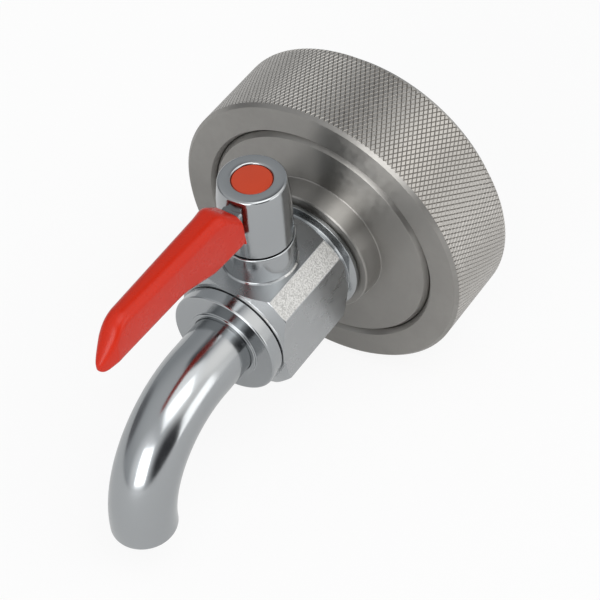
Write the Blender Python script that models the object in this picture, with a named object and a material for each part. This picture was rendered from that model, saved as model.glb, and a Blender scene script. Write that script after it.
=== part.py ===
"""Drum tap: a knurled ring nut for a drum's neck, a ball valve with a red lever and a bent spout.

The origin lies on the flow axis, in the plane where the rim of the drum's neck meets the gasket. +X runs
along the flow axis from the drum to the spout, +Z runs up the stem, and the valve is modelled open, with
the lever over the spout. Every length is in metres.
"""

import math

import bmesh
import bpy
from mathutils import Vector

MM = 0.001

# Fits between neighbouring pieces
CLEARANCE = 0.3 * MM
O_RING_SECTION = 1.1 * MM

# Ring nut, with its wall measured from the outside to the thread's crest
RING_RADIUS = 37.0 * MM
RING_WALL = 6.1 * MM
RING_LENGTH = 24.3 * MM
RING_LIP_THICKNESS = 3.2 * MM
RING_FRONT_CHAMFER = 0.8 * MM
RING_REAR_CHAMFER = 3.0 * MM
THREAD_DEPTH = 2.0 * MM
THREAD_RELIEF_LENGTH = 7.0 * MM

# Flange disc that the ring nut pulls against the neck, with its round boss for the valve
FLANGE_SLIP = 0.4 * MM
FLANGE_LEDGE = 1.6 * MM
FLANGE_THICKNESS = 3.0 * MM
FACE_GROOVE_WIDTH = 0.8 * MM
FACE_GROOVE_DEPTH = 1.2 * MM
BOSS_WALL = 3.3 * MM
BOSS_TAPER = 0.4 * MM
BOSS_HEIGHT = 5.45 * MM
BOSS_EDGE = 0.3 * MM
PILOT_HEIGHT = 1.5 * MM

# Gasket on the rim of the neck
GASKET_THICKNESS = 2.4 * MM
GASKET_WIDTH = 7.6 * MM
GASKET_SLIP = 1.5 * MM

# Ball, its two seats and the flow passage
BALL_BORE_RADIUS = 6.0 * MM
BALL_WALL = 3.0 * MM
BALL_SLOT_DEPTH = 2.1 * MM
SEAT_RIM = 0.6 * MM
SEAT_INSET = 1.0 * MM
SEAT_CUP_INSET = 0.7 * MM
PASSAGE_EASE = 0.2 * MM

# Valve body: an octagonal bar with turned ends, a threaded tail and a boss for the stem
BODY_WALL = 2.4 * MM
BODY_CORNER_CUT = 4.0 * MM
BODY_CORNER_ROUND = 0.35 * MM
BODY_LENGTH = 28.15 * MM
BODY_STANDOFF = 0.65 * MM
BODY_COLLAR_RIM = 1.2 * MM
BODY_COLLAR_LENGTH = 0.9 * MM
BODY_NECK_STEP = 0.2 * MM
BODY_NECK_LENGTH = 1.1 * MM
BODY_REAR_CONE = 2.7 * MM
BODY_FRONT_CONE = 1.5 * MM
BODY_END_LAND = 0.55 * MM
BODY_END_STEP = 0.15 * MM
TAIL_WALL = 3.9 * MM
TAIL_LENGTH = 11.0 * MM
TAIL_CHAMFER = 1.0 * MM
SEAL_WIDTH = 2.4 * MM
SEAL_THICKNESS = 1.5 * MM

# Stem, and the boss that it comes out of
STEM_RADIUS = 4.0 * MM
STEM_COLLAR_STEP = 1.2 * MM
STEM_COLLAR_THICKNESS = 1.4 * MM
STEM_COLLAR_LIFT = 0.6 * MM
TANG_THICKNESS = 3.0 * MM
TANG_STEP = 0.5 * MM
THRUST_WASHER_THICKNESS = 0.8 * MM
STEM_FIRST_GROOVE = 2.6 * MM
STEM_GROOVE_PITCH = 3.0 * MM
STEM_TOP_LAND = 1.85 * MM
STEM_BOSS_STEP = 0.25 * MM
STEM_BOSS_EDGE = 0.3 * MM
STEM_BOSS_FILLET = 0.35 * MM
DRIVE_CUT = 0.8 * MM
DRIVE_HEIGHT = 5.4 * MM

# Stop lugs, with their angles in degrees about the stem
LEVER_TRAVEL = 90.0
HUB_LUG_SWEEP = 110.0
FULL_TURN = 360.0
STOP_HEIGHT = 1.8 * MM
STOP_WALL = 1.6 * MM

# Screw, washer and indicator in the top of the hub
SCREW_RADIUS = 1.8 * MM
SCREW_LENGTH = 9.5 * MM
SCREW_TIP_CHAMFER = 0.9 * MM
SCREW_HEAD_RADIUS = 3.2 * MM
SCREW_HEAD_HEIGHT = 2.2 * MM
SCREW_HEAD_EDGE = 0.7 * MM
SCREW_HEAD_ROOM = 1.5 * MM
CROSS_WIDTH = 0.9 * MM
CROSS_LENGTH = 4.0 * MM
CROSS_DEPTH = 1.1 * MM
LOCK_WASHER_RADIUS = 3.2 * MM
LOCK_WASHER_THICKNESS = 0.9 * MM
LOCK_WASHER_SPLIT = 0.7 * MM
INDICATOR_SINK = 0.3 * MM
INDICATOR_THICKNESS = 1.2 * MM
INDICATOR_SKIRT = 1.6 * MM
INDICATOR_SKIRT_WALL = 0.5 * MM
INDICATOR_SIDE_ROOM = 0.5 * MM
INDICATOR_EDGE = 0.3 * MM

# Hub of the lever
HUB_WALL = 1.85 * MM
HUB_TAPER = 0.6 * MM
HUB_TAPER_HEIGHT = 5.0 * MM
HUB_GAP = 0.5 * MM
HUB_BEVEL = 0.35 * MM
HUB_WEB = 2.5 * MM

# Neck and blade of the lever's bar
NECK_HALF_WIDTH = 2.4 * MM
NECK_DEPTH = 5.8 * MM
NECK_DROP = 2.9 * MM
BLADE_HALF_THICKNESS = 1.0 * MM
BLADE_SETBACK = 14.5 * MM
BLADE_EDGE_ROUND = 0.5 * MM

# Grip: a blade with a belly near the root and a raked nose at the tip
GRIP_STANDOFF = 0.95 * MM
GRIP_LENGTH = 48.0 * MM
GRIP_WALL = 1.2 * MM
GRIP_ROOT_HALF_WIDTH = 4.1 * MM
GRIP_HALF_WIDTH = 3.4 * MM
GRIP_TIP_HALF_WIDTH = 2.2 * MM
GRIP_EDGE_ROUND = 2.3 * MM
GRIP_ROOT_COVER = 1.3 * MM
GRIP_ROOT_RAKE = 0.5 * MM
GRIP_ROOT_TOP_ROUND = 0.6 * MM
GRIP_ROOT_SKIRT = 1.7 * MM
GRIP_ROOT_SKIRT_ROUND = 1.0 * MM
GRIP_FLARE_LENGTH = 8.9 * MM
GRIP_BELLY_DROP = 1.2 * MM
GRIP_BELLY_ROUND = 10.0 * MM
GRIP_THROAT_LENGTH = 10.8 * MM
GRIP_THROAT_RISE = 3.6 * MM
GRIP_THROAT_ROUND = 14.0 * MM
GRIP_TIP_ROUND = 2.1 * MM
GRIP_NOSE_LENGTH = 9.1 * MM
GRIP_NOSE_ROUND = 5.0 * MM
GRIP_CREST_RISE = 3.2 * MM
GRIP_SHOULDER_LENGTH = 5.0 * MM
GRIP_SHOULDER_DROP = 0.6 * MM
GRIP_SHOULDER_ROUND = 3.5 * MM

# Spout and the collar that holds it
COLLAR_STEP = 0.2 * MM
COLLAR_THICKNESS = 3.2 * MM
COLLAR_STANDOFF = 0.35 * MM
COLLAR_CHAMFER = 0.4 * MM
COLLAR_THREAD_STEP = 1.1 * MM
COLLAR_INSERT_LENGTH = 4.0 * MM
COLLAR_LIP_WIDTH = 1.1 * MM
COLLAR_LIP_HEIGHT = 0.5 * MM
COLLAR_LIP_EDGE = 0.3 * MM
SOCKET_DEPTH = 5.5 * MM
SPOUT_EASE = 0.05 * MM
SPOUT_WALL = 1.0 * MM
SPOUT_LEAD = 9.55 * MM
SPOUT_BEND_RADIUS = 24.7 * MM
SPOUT_DROP = 1.0 * MM

# Radii about the flow axis: the valve from its bore outwards, the nut and disc from the outside inwards
BALL_RADIUS = BALL_BORE_RADIUS + BALL_WALL
SEAT_BORE_RADIUS = BALL_BORE_RADIUS + CLEARANCE
SEAT_RADIUS = BALL_RADIUS + SEAT_RIM
SEAT_CUP_RADIUS = BALL_RADIUS - SEAT_CUP_INSET
SEAT_REACH = BALL_RADIUS - SEAT_INSET
PASSAGE_RADIUS = SEAT_BORE_RADIUS + PASSAGE_EASE
CAVITY_RADIUS = SEAT_RADIUS + CLEARANCE
COLLAR_THREAD_RADIUS = CAVITY_RADIUS + COLLAR_THREAD_STEP
BODY_HALF_WIDTH = COLLAR_THREAD_RADIUS + BODY_WALL
BODY_NECK_RADIUS = BODY_HALF_WIDTH - BODY_NECK_STEP
COLLAR_RADIUS = BODY_HALF_WIDTH - COLLAR_STEP
SPOUT_BORE_RADIUS = PASSAGE_RADIUS + SPOUT_EASE
SPOUT_RADIUS = SPOUT_BORE_RADIUS + SPOUT_WALL
TAIL_RADIUS = PASSAGE_RADIUS + TAIL_WALL
TAIL_BORE_RADIUS = TAIL_RADIUS + CLEARANCE
SEAL_INNER_RADIUS = TAIL_BORE_RADIUS + CLEARANCE
SEAL_OUTER_RADIUS = SEAL_INNER_RADIUS + SEAL_WIDTH
SEAL_POCKET_RADIUS = SEAL_OUTER_RADIUS + CLEARANCE
BODY_COLLAR_RADIUS = SEAL_POCKET_RADIUS + BODY_COLLAR_RIM
BOSS_RADIUS = SEAL_POCKET_RADIUS + BOSS_WALL
THREAD_CREST_RADIUS = RING_RADIUS - RING_WALL
THREAD_RELIEF_RADIUS = THREAD_CREST_RADIUS + THREAD_DEPTH
FLANGE_RADIUS = THREAD_CREST_RADIUS - FLANGE_SLIP
DISC_RADIUS = FLANGE_RADIUS - FLANGE_LEDGE
GASKET_OUTER_RADIUS = THREAD_CREST_RADIUS - GASKET_SLIP
GASKET_INNER_RADIUS = GASKET_OUTER_RADIUS - GASKET_WIDTH

# Radii and half widths about the stem
STEM_BORE_RADIUS = STEM_RADIUS + CLEARANCE
STEM_COLLAR_RADIUS = STEM_RADIUS + STEM_COLLAR_STEP
TANG_HALF_WIDTH = STEM_RADIUS - TANG_STEP
DRIVE_HALF_WIDTH = STEM_RADIUS - DRIVE_CUT
STOP_RADIUS = STEM_BORE_RADIUS + STOP_WALL
HUB_CAVITY_RADIUS = STOP_RADIUS + CLEARANCE
HUB_RADIUS = HUB_CAVITY_RADIUS + HUB_WALL
HUB_TOP_RADIUS = HUB_RADIUS - HUB_TAPER
STEM_BOSS_RADIUS = HUB_RADIUS + STEM_BOSS_STEP
INDICATOR_BORE = SCREW_HEAD_RADIUS + INDICATOR_SIDE_ROOM
INDICATOR_RADIUS = INDICATOR_BORE + INDICATOR_SKIRT_WALL
RECESS_RADIUS = INDICATOR_RADIUS + CLEARANCE
GROOVE_DEPTH = O_RING_SECTION + 2 * CLEARANCE
HALF_GROOVE = O_RING_SECTION / 2 + CLEARANCE
STOP_PLAY = math.degrees(CLEARANCE / STEM_BORE_RADIUS)

# Planes along the flow axis, each worked out from the one before it
FLANGE_REAR_X = GASKET_THICKNESS + CLEARANCE
LIP_REAR_X = FLANGE_REAR_X + FLANGE_THICKNESS + CLEARANCE
FACE_X = LIP_REAR_X + RING_LIP_THICKNESS
RING_REAR_X = FACE_X - RING_LENGTH
BOSS_FRONT_X = FACE_X + BOSS_HEIGHT
BODY_REAR_X = BOSS_FRONT_X + BODY_STANDOFF
BODY_FRONT_X = BODY_REAR_X + BODY_LENGTH
INSERT_REAR_X = BODY_FRONT_X - COLLAR_INSERT_LENGTH
VALVE_X = INSERT_REAR_X - CLEARANCE - SEAT_REACH
COLLAR_REAR_X = BODY_FRONT_X + COLLAR_STANDOFF
COLLAR_FRONT_X = COLLAR_REAR_X + COLLAR_THICKNESS
LIP_FRONT_X = COLLAR_FRONT_X + COLLAR_LIP_HEIGHT
SOCKET_REAR_X = LIP_FRONT_X - SOCKET_DEPTH
BEND_START_X = COLLAR_FRONT_X + SPOUT_LEAD

# Heights along the stem, from the flow axis up to the top of the hub
STEM_COLLAR_BOTTOM = BALL_RADIUS + STEM_COLLAR_LIFT
STEM_COLLAR_TOP = STEM_COLLAR_BOTTOM + STEM_COLLAR_THICKNESS
THRUST_WASHER_BOTTOM = STEM_COLLAR_TOP + CLEARANCE
THRUST_WASHER_TOP = THRUST_WASHER_BOTTOM + THRUST_WASHER_THICKNESS
STEM_SHOULDER = THRUST_WASHER_TOP + CLEARANCE
LOWER_GROOVE = STEM_SHOULDER + STEM_FIRST_GROOVE
UPPER_GROOVE = LOWER_GROOVE + STEM_GROOVE_PITCH
STEM_BOSS_TOP = UPPER_GROOVE + HALF_GROOVE + STEM_TOP_LAND
HUB_BOTTOM = STEM_BOSS_TOP + HUB_GAP
STOP_TOP = STEM_BOSS_TOP + STOP_HEIGHT
HUB_SOCKET_BOTTOM = STOP_TOP + CLEARANCE
DRIVE_TOP = STOP_TOP + DRIVE_HEIGHT
HUB_SOCKET_TOP = DRIVE_TOP + CLEARANCE
SCREW_SEAT = HUB_SOCKET_TOP + HUB_WEB
LOCK_WASHER_BOTTOM = SCREW_SEAT + CLEARANCE
LOCK_WASHER_TOP = LOCK_WASHER_BOTTOM + LOCK_WASHER_THICKNESS
SCREW_HEAD_BOTTOM = LOCK_WASHER_TOP + CLEARANCE
SCREW_HEAD_TOP = SCREW_HEAD_BOTTOM + SCREW_HEAD_HEIGHT
INDICATOR_UNDER = SCREW_HEAD_TOP + SCREW_HEAD_ROOM
INDICATOR_TOP = INDICATOR_UNDER + INDICATOR_THICKNESS
HUB_TOP = INDICATOR_TOP + INDICATOR_SINK

# Lever's bar and grip, with x measured from the stem and heights from the hub's top
NECK_TOP = HUB_TOP - NECK_DROP
NECK_BOTTOM = NECK_TOP - NECK_DEPTH
GRIP_ROOT = HUB_RADIUS + GRIP_STANDOFF
GRIP_TIP = GRIP_ROOT + GRIP_LENGTH
GRIP_CREST = HUB_TOP + GRIP_CREST_RISE
GRIP_ROOT_TOP = NECK_TOP + GRIP_ROOT_COVER
GRIP_ROOT_BOTTOM = NECK_BOTTOM - GRIP_ROOT_SKIRT
GRIP_BELLY = GRIP_ROOT_BOTTOM - GRIP_BELLY_DROP
GRIP_UNDERSIDE = GRIP_BELLY + GRIP_THROAT_RISE

# Facets
LARGE_SEGMENTS = 60
MEDIUM_SEGMENTS = 44
SMALL_SEGMENTS = 28
TINY_SEGMENTS = 18
O_RING_SEGMENTS = 6
BEND_STEPS = 14
GRIP_STEPS = 30
GRIP_CORNER_STEPS = 3
BLADE_CORNER_STEPS = 2
STOP_STEPS = 10
CUP_STEPS = 4
SHARP_ANGLE = 32.0
ROUND_LIMIT = 0.95
END_SHARE = 0.0005
ALONG_X = (0.0, math.radians(90), 0.0)
OVERSHOOT = 2.0 * MM


def clear_scene():
    for item in list(bpy.data.objects):
        bpy.data.objects.remove(item, do_unlink=True)


def finish(name, colour, roughness, metallic):
    """A Principled material under the given name."""
    material = bpy.data.materials.new(name)
    material.use_nodes = True
    shader = material.node_tree.nodes["Principled BSDF"]
    shader.inputs["Base Color"].default_value = (*colour, 1.0)
    shader.inputs["Roughness"].default_value = roughness
    shader.inputs["Metallic"].default_value = metallic
    material.diffuse_color = (*colour, 1.0)
    return material


def make_finishes():
    return {
        "stainless": finish("stainless_steel", (0.53, 0.51, 0.48), 0.32, 1.0),
        "chrome": finish("chrome_plate", (0.72, 0.74, 0.76), 0.12, 1.0),
        "satin": finish("satin_plate", (0.62, 0.63, 0.64), 0.38, 1.0),
        "brass": finish("brass", (0.78, 0.60, 0.30), 0.30, 1.0),
        "red": finish("red_vinyl", (0.62, 0.03, 0.02), 0.30, 0.0),
        "orange": finish("orange_plastic", (0.60, 0.06, 0.02), 0.40, 0.0),
        "white": finish("white_ptfe", (0.85, 0.85, 0.82), 0.55, 0.0),
        "rubber": finish("black_rubber", (0.03, 0.03, 0.03), 0.70, 0.0),
    }


def add_object(name, shape, material=None, location=(0, 0, 0), rotation=(0, 0, 0), parent=None):
    """An object from a bmesh, shaded smooth with its corners kept sharp."""
    bmesh.ops.recalc_face_normals(shape, faces=shape.faces)
    mesh = bpy.data.meshes.new(name)
    shape.to_mesh(mesh)
    shape.free()
    mesh.shade_smooth()
    mesh.set_sharp_from_angle(angle=math.radians(SHARP_ANGLE))
    if material:
        mesh.materials.append(material)
    item = bpy.data.objects.new(name, mesh)
    item.location = location
    item.rotation_euler = rotation
    item.parent = parent
    bpy.context.scene.collection.objects.link(item)
    return item


def combine(target, tool, operation):
    """A Boolean on the target, with the tool kept as a hidden guide."""
    modifier = target.modifiers.new(tool.name, "BOOLEAN")
    modifier.operation = operation
    modifier.solver = "EXACT"
    modifier.object = tool
    tool.hide_render = True
    tool.display_type = "WIRE"


def turned(profile, segments):
    """The solid turned about Z from (height, radius) points, which run round its half section."""
    shape = bmesh.new()
    points = [shape.verts.new((radius, 0.0, height)) for height, radius in profile]
    edges = []
    for first, second in zip(points, points[1:] + points[:1]):
        if first.co.x > 0 or second.co.x > 0:
            edges.append(shape.edges.new((first, second)))
    bmesh.ops.spin(
        shape,
        geom=points + edges,
        cent=(0, 0, 0),
        axis=(0, 0, 1),
        angle=math.tau,
        steps=segments,
        use_merge=True,
    )
    bmesh.ops.remove_doubles(shape, verts=shape.verts, dist=1e-7)
    return shape


def box(low, high):
    """A box between two opposite corners."""
    shape = bmesh.new()
    bmesh.ops.create_cube(shape, size=1.0)
    low, high = Vector(low), Vector(high)
    bmesh.ops.scale(shape, vec=high - low, verts=shape.verts)
    bmesh.ops.translate(shape, vec=(low + high) / 2, verts=shape.verts)
    return shape


def sector(inner, outer, bottom, top, start, sweep, steps):
    """A length of square ring about Z, from the start angle and over the sweep, in degrees."""
    shape = bmesh.new()
    corners = [(inner, bottom), (outer, bottom), (outer, top), (inner, top)]
    turn = math.radians(start)
    across, along = math.cos(turn), math.sin(turn)
    points = [shape.verts.new((radius * across, radius * along, height)) for radius, height in corners]
    edges = [shape.edges.new(pair) for pair in zip(points, points[1:] + points[:1])]
    bmesh.ops.spin(
        shape,
        geom=points + edges,
        cent=(0, 0, 0),
        axis=(0, 0, 1),
        angle=math.radians(sweep),
        steps=steps,
    )
    bmesh.ops.holes_fill(shape, edges=shape.edges)
    return shape


def o_ring_section(centre_height, centre_radius):
    """The round section of an O-ring as (height, radius) points."""
    turns = [math.tau * (step + 0.5) / O_RING_SEGMENTS for step in range(O_RING_SEGMENTS)]
    half = O_RING_SECTION / 2
    round_section = [(half * math.sin(turn), half * math.cos(turn)) for turn in turns]
    return [(centre_height + along, centre_radius + out) for along, out in round_section]


def rounded_outline(corners, arc_steps=6):
    """A closed outline through (x, z, radius) corners, each rounded to its radius."""
    outline = []
    for index, (x, z, radius) in enumerate(corners):
        here = Vector((x, z))
        before = Vector(corners[index - 1][:2]) - here
        after = Vector(corners[(index + 1) % len(corners)][:2]) - here
        half_angle = before.angle(after) / 2
        reach = radius / math.tan(half_angle)
        inwards = (before.normalized() + after.normalized()).normalized()
        centre = here + inwards * radius / math.sin(half_angle)
        first = here + before.normalized() * reach - centre
        last = here + after.normalized() * reach - centre
        sweep = math.atan2(first.x * last.y - first.y * last.x, first.dot(last))
        for step in range(arc_steps + 1):
            turn = sweep * step / arc_steps
            cosine, sine = math.cos(turn), math.sin(turn)
            spoke = Vector((first.x * cosine - first.y * sine, first.x * sine + first.y * cosine))
            outline.append(centre + spoke)
    return outline


def span_at(outline, x):
    """The lowest and highest z of a closed outline where it crosses x."""
    heights = []
    for first, second in zip(outline, outline[1:] + outline[:1]):
        if (first.x - x) * (second.x - x) <= 0 and first.x != second.x:
            share = (x - first.x) / (second.x - first.x)
            heights.append(first.y + share * (second.y - first.y))
    return min(heights), max(heights)


def rounded_rectangle(half_width, bottom, top, radius, corner_steps):
    """The (y, z) points of a section with rounded corners, turning anticlockwise."""
    radius = min(radius, ROUND_LIMIT * half_width, ROUND_LIMIT * (top - bottom) / 2)
    centres = [
        (half_width - radius, top - radius, 0),
        (radius - half_width, top - radius, 90),
        (radius - half_width, bottom + radius, 180),
        (half_width - radius, bottom + radius, 270),
    ]
    points = []
    for y, z, start in centres:
        for step in range(corner_steps + 1):
            turn = math.radians(start + 90 * step / corner_steps)
            points.append((y + radius * math.cos(turn), z + radius * math.sin(turn)))
    return points


def loft(sections):
    """A closed solid through (x, points) sections that have equal numbers of points."""
    shape = bmesh.new()
    rings = [[shape.verts.new((x, y, z)) for y, z in points] for x, points in sections]
    for ring, following in zip(rings, rings[1:]):
        for index in range(len(ring)):
            after = (index + 1) % len(ring)
            shape.faces.new((ring[index], ring[after], following[after], following[index]))
    shape.faces.new(rings[0])
    shape.faces.new(rings[-1])
    return shape


def smooth_step(value):
    value = min(max(value, 0.0), 1.0)
    return value * value * (3 - 2 * value)


def build_ring_nut(finishes):
    """The ring nut: chamfered rims, an inner lip over the flange, and the thread's bore behind a relief."""
    lip_bore = DISC_RADIUS + CLEARANCE
    relief_rear = LIP_REAR_X - THREAD_RELIEF_LENGTH
    profile = [
        (RING_REAR_X, RING_RADIUS - RING_REAR_CHAMFER),
        (RING_REAR_X + RING_REAR_CHAMFER, RING_RADIUS),
        (FACE_X - RING_FRONT_CHAMFER, RING_RADIUS),
        (FACE_X, RING_RADIUS - RING_FRONT_CHAMFER),
        (FACE_X, lip_bore + FACE_GROOVE_WIDTH),
        (FACE_X - FACE_GROOVE_DEPTH, lip_bore),
        (LIP_REAR_X, lip_bore),
        (LIP_REAR_X, THREAD_RELIEF_RADIUS),
        (relief_rear, THREAD_RELIEF_RADIUS),
        (relief_rear - THREAD_DEPTH, THREAD_CREST_RADIUS),
        (RING_REAR_X + THREAD_DEPTH, THREAD_CREST_RADIUS),
        (RING_REAR_X, THREAD_RELIEF_RADIUS),
    ]
    add_object("ring_nut", turned(profile, LARGE_SEGMENTS), finishes["stainless"], rotation=ALONG_X)


def build_flange_disc(finishes):
    """The turned disc: a flange under the nut's lip, a flush face, and the boss that takes the tail."""
    seal_floor = BODY_REAR_X - CLEARANCE - SEAL_THICKNESS - CLEARANCE
    pilot_rear = FLANGE_REAR_X - PILOT_HEIGHT
    pilot_radius = GASKET_INNER_RADIUS - CLEARANCE
    profile = [
        (FLANGE_REAR_X, pilot_radius),
        (FLANGE_REAR_X, FLANGE_RADIUS),
        (LIP_REAR_X - CLEARANCE, FLANGE_RADIUS),
        (LIP_REAR_X - CLEARANCE, DISC_RADIUS),
        (FACE_X - FACE_GROOVE_DEPTH, DISC_RADIUS),
        (FACE_X, DISC_RADIUS - FACE_GROOVE_WIDTH),
        (FACE_X, BOSS_RADIUS),
        (BOSS_FRONT_X - BOSS_EDGE, BOSS_RADIUS - BOSS_TAPER),
        (BOSS_FRONT_X, BOSS_RADIUS - BOSS_TAPER - BOSS_EDGE),
        (BOSS_FRONT_X, SEAL_POCKET_RADIUS),
        (seal_floor, SEAL_POCKET_RADIUS),
        (seal_floor, TAIL_BORE_RADIUS),
        (pilot_rear, TAIL_BORE_RADIUS),
        (pilot_rear, pilot_radius - BOSS_EDGE),
        (pilot_rear + BOSS_EDGE, pilot_radius),
    ]
    add_object("flange_disc", turned(profile, LARGE_SEGMENTS), finishes["stainless"], rotation=ALONG_X)


def build_neck_gasket(finishes):
    profile = [
        (0.0, GASKET_INNER_RADIUS),
        (0.0, GASKET_OUTER_RADIUS),
        (GASKET_THICKNESS, GASKET_OUTER_RADIUS),
        (GASKET_THICKNESS, GASKET_INNER_RADIUS),
    ]
    add_object("neck_gasket", turned(profile, MEDIUM_SEGMENTS), finishes["rubber"], rotation=ALONG_X)


def build_body_seal(finishes):
    """The flat seal in the boss, round the tail."""
    front = BODY_REAR_X - CLEARANCE
    rear = front - SEAL_THICKNESS
    profile = [
        (rear, SEAL_INNER_RADIUS),
        (rear, SEAL_OUTER_RADIUS),
        (front, SEAL_OUTER_RADIUS),
        (front, SEAL_INNER_RADIUS),
    ]
    add_object("body_seal", turned(profile, SMALL_SEGMENTS), finishes["white"], rotation=ALONG_X)


def octagon_bar(rear, front):
    """The body's bar: a square section with its corners cut at 45 degrees and slightly rounded."""
    wide = BODY_HALF_WIDTH
    narrow = wide - BODY_CORNER_CUT
    corners = [(wide, narrow), (narrow, wide), (-narrow, wide), (-wide, narrow)]
    corners += [(-y, -z) for y, z in corners]
    shape = bmesh.new()
    end = shape.faces.new([shape.verts.new((rear, y, z)) for y, z in corners])
    swept = bmesh.ops.extrude_face_region(shape, geom=[end])["geom"]
    moved = [item for item in swept if isinstance(item, bmesh.types.BMVert)]
    bmesh.ops.translate(shape, vec=(front - rear, 0, 0), verts=moved)
    long_edges = [edge for edge in shape.edges if abs(edge.verts[0].co.x - edge.verts[1].co.x) > MM]
    bmesh.ops.bevel(
        shape,
        geom=long_edges,
        offset=BODY_CORNER_ROUND,
        segments=2,
        profile=0.5,
        affect="EDGES",
    )
    return shape


def body_bar():
    """The octagonal bar with the cones that are turned on its two ends."""
    bar_rear = BODY_REAR_X + BODY_COLLAR_LENGTH + BODY_NECK_LENGTH
    corner_radius = math.hypot(BODY_HALF_WIDTH, BODY_HALF_WIDTH - BODY_CORNER_CUT)
    end_radius = BODY_HALF_WIDTH + BODY_END_STEP
    land_rear = BODY_FRONT_X - BODY_END_LAND
    envelope = [
        (bar_rear - OVERSHOOT, 0.0),
        (bar_rear - OVERSHOOT, BODY_NECK_RADIUS),
        (bar_rear, BODY_NECK_RADIUS),
        (bar_rear + BODY_REAR_CONE, corner_radius),
        (land_rear - BODY_FRONT_CONE, corner_radius),
        (land_rear, end_radius),
        (BODY_FRONT_X + OVERSHOOT, end_radius),
        (BODY_FRONT_X + OVERSHOOT, 0.0),
    ]
    return octagon_bar(bar_rear, BODY_FRONT_X), turned(envelope, MEDIUM_SEGMENTS)


def body_tail():
    """The tail that screws into the disc, the round collar in front of it, and the neck up to the bar."""
    tail_rear = BODY_REAR_X - TAIL_LENGTH
    collar_front = BODY_REAR_X + BODY_COLLAR_LENGTH
    neck_front = collar_front + BODY_NECK_LENGTH + OVERSHOOT
    profile = [
        (tail_rear, 0.0),
        (tail_rear, TAIL_RADIUS - TAIL_CHAMFER),
        (tail_rear + TAIL_CHAMFER, TAIL_RADIUS),
        (BODY_REAR_X, TAIL_RADIUS),
        (BODY_REAR_X, BODY_COLLAR_RADIUS),
        (collar_front, BODY_COLLAR_RADIUS),
        (collar_front + BODY_NECK_LENGTH / 2, BODY_NECK_RADIUS),
        (neck_front, BODY_NECK_RADIUS),
        (neck_front, 0.0),
    ]
    return turned(profile, MEDIUM_SEGMENTS)


def stem_boss():
    """The round boss on top of the body, with a fillet at its foot."""
    profile = [
        (CAVITY_RADIUS, 0.0),
        (CAVITY_RADIUS, STEM_BOSS_RADIUS + STEM_BOSS_FILLET),
        (BODY_HALF_WIDTH, STEM_BOSS_RADIUS + STEM_BOSS_FILLET),
        (BODY_HALF_WIDTH + STEM_BOSS_FILLET, STEM_BOSS_RADIUS),
        (STEM_BOSS_TOP - STEM_BOSS_EDGE, STEM_BOSS_RADIUS),
        (STEM_BOSS_TOP, STEM_BOSS_RADIUS - STEM_BOSS_EDGE),
        (STEM_BOSS_TOP, 0.0),
    ]
    return turned(profile, MEDIUM_SEGMENTS)


def body_stop():
    """The stop on the boss, behind the stem: it fills the turn that the hub's lug never reaches."""
    free_sweep = HUB_LUG_SWEEP + LEVER_TRAVEL + 2 * STOP_PLAY
    bottom = STEM_BOSS_TOP - STOP_HEIGHT
    sweep = FULL_TURN - free_sweep
    return sector(STEM_RADIUS, STOP_RADIUS, bottom, STOP_TOP, free_sweep / 2, sweep, STOP_STEPS)


def body_cavity():
    """The flow passage, the chamber for ball and seats, and the wider bore for the spout's collar."""
    chamber_rear = VALVE_X - SEAT_REACH - CLEARANCE
    chamber_front = VALVE_X + SEAT_REACH
    passage_rear = BODY_REAR_X - TAIL_LENGTH - OVERSHOOT
    profile = [
        (passage_rear, 0.0),
        (passage_rear, PASSAGE_RADIUS),
        (chamber_rear, PASSAGE_RADIUS),
        (chamber_rear, CAVITY_RADIUS),
        (chamber_front, CAVITY_RADIUS),
        (chamber_front, COLLAR_THREAD_RADIUS),
        (BODY_FRONT_X + OVERSHOOT, COLLAR_THREAD_RADIUS),
        (BODY_FRONT_X + OVERSHOOT, 0.0),
    ]
    return turned(profile, SMALL_SEGMENTS)


def stem_bore():
    """The stem's bore, stepped so that the stem's collar stays below the shoulder."""
    chamber = STEM_COLLAR_RADIUS + CLEARANCE
    profile = [
        (0.0, 0.0),
        (0.0, chamber),
        (STEM_SHOULDER, chamber),
        (STEM_SHOULDER, STEM_BORE_RADIUS),
        (STOP_TOP + OVERSHOOT, STEM_BORE_RADIUS),
        (STOP_TOP + OVERSHOOT, 0.0),
    ]
    return turned(profile, SMALL_SEGMENTS)


def build_valve_body(finishes):
    """The forged body: bar, tail, stem boss and stop in one piece, bored for the ball and the stem."""
    bar, envelope = body_bar()
    above_valve = (VALVE_X, 0, 0)
    body = add_object("valve_body", bar, finishes["satin"])
    combine(body, add_object("body_envelope", envelope, rotation=ALONG_X), "INTERSECT")
    combine(body, add_object("body_tail", body_tail(), rotation=ALONG_X), "UNION")
    combine(body, add_object("stem_boss", stem_boss(), location=above_valve), "UNION")
    combine(body, add_object("body_stop", body_stop(), location=above_valve), "UNION")
    combine(body, add_object("body_cavity", body_cavity(), rotation=ALONG_X), "DIFFERENCE")
    combine(body, add_object("stem_bore", stem_bore(), location=above_valve), "DIFFERENCE")


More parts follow.
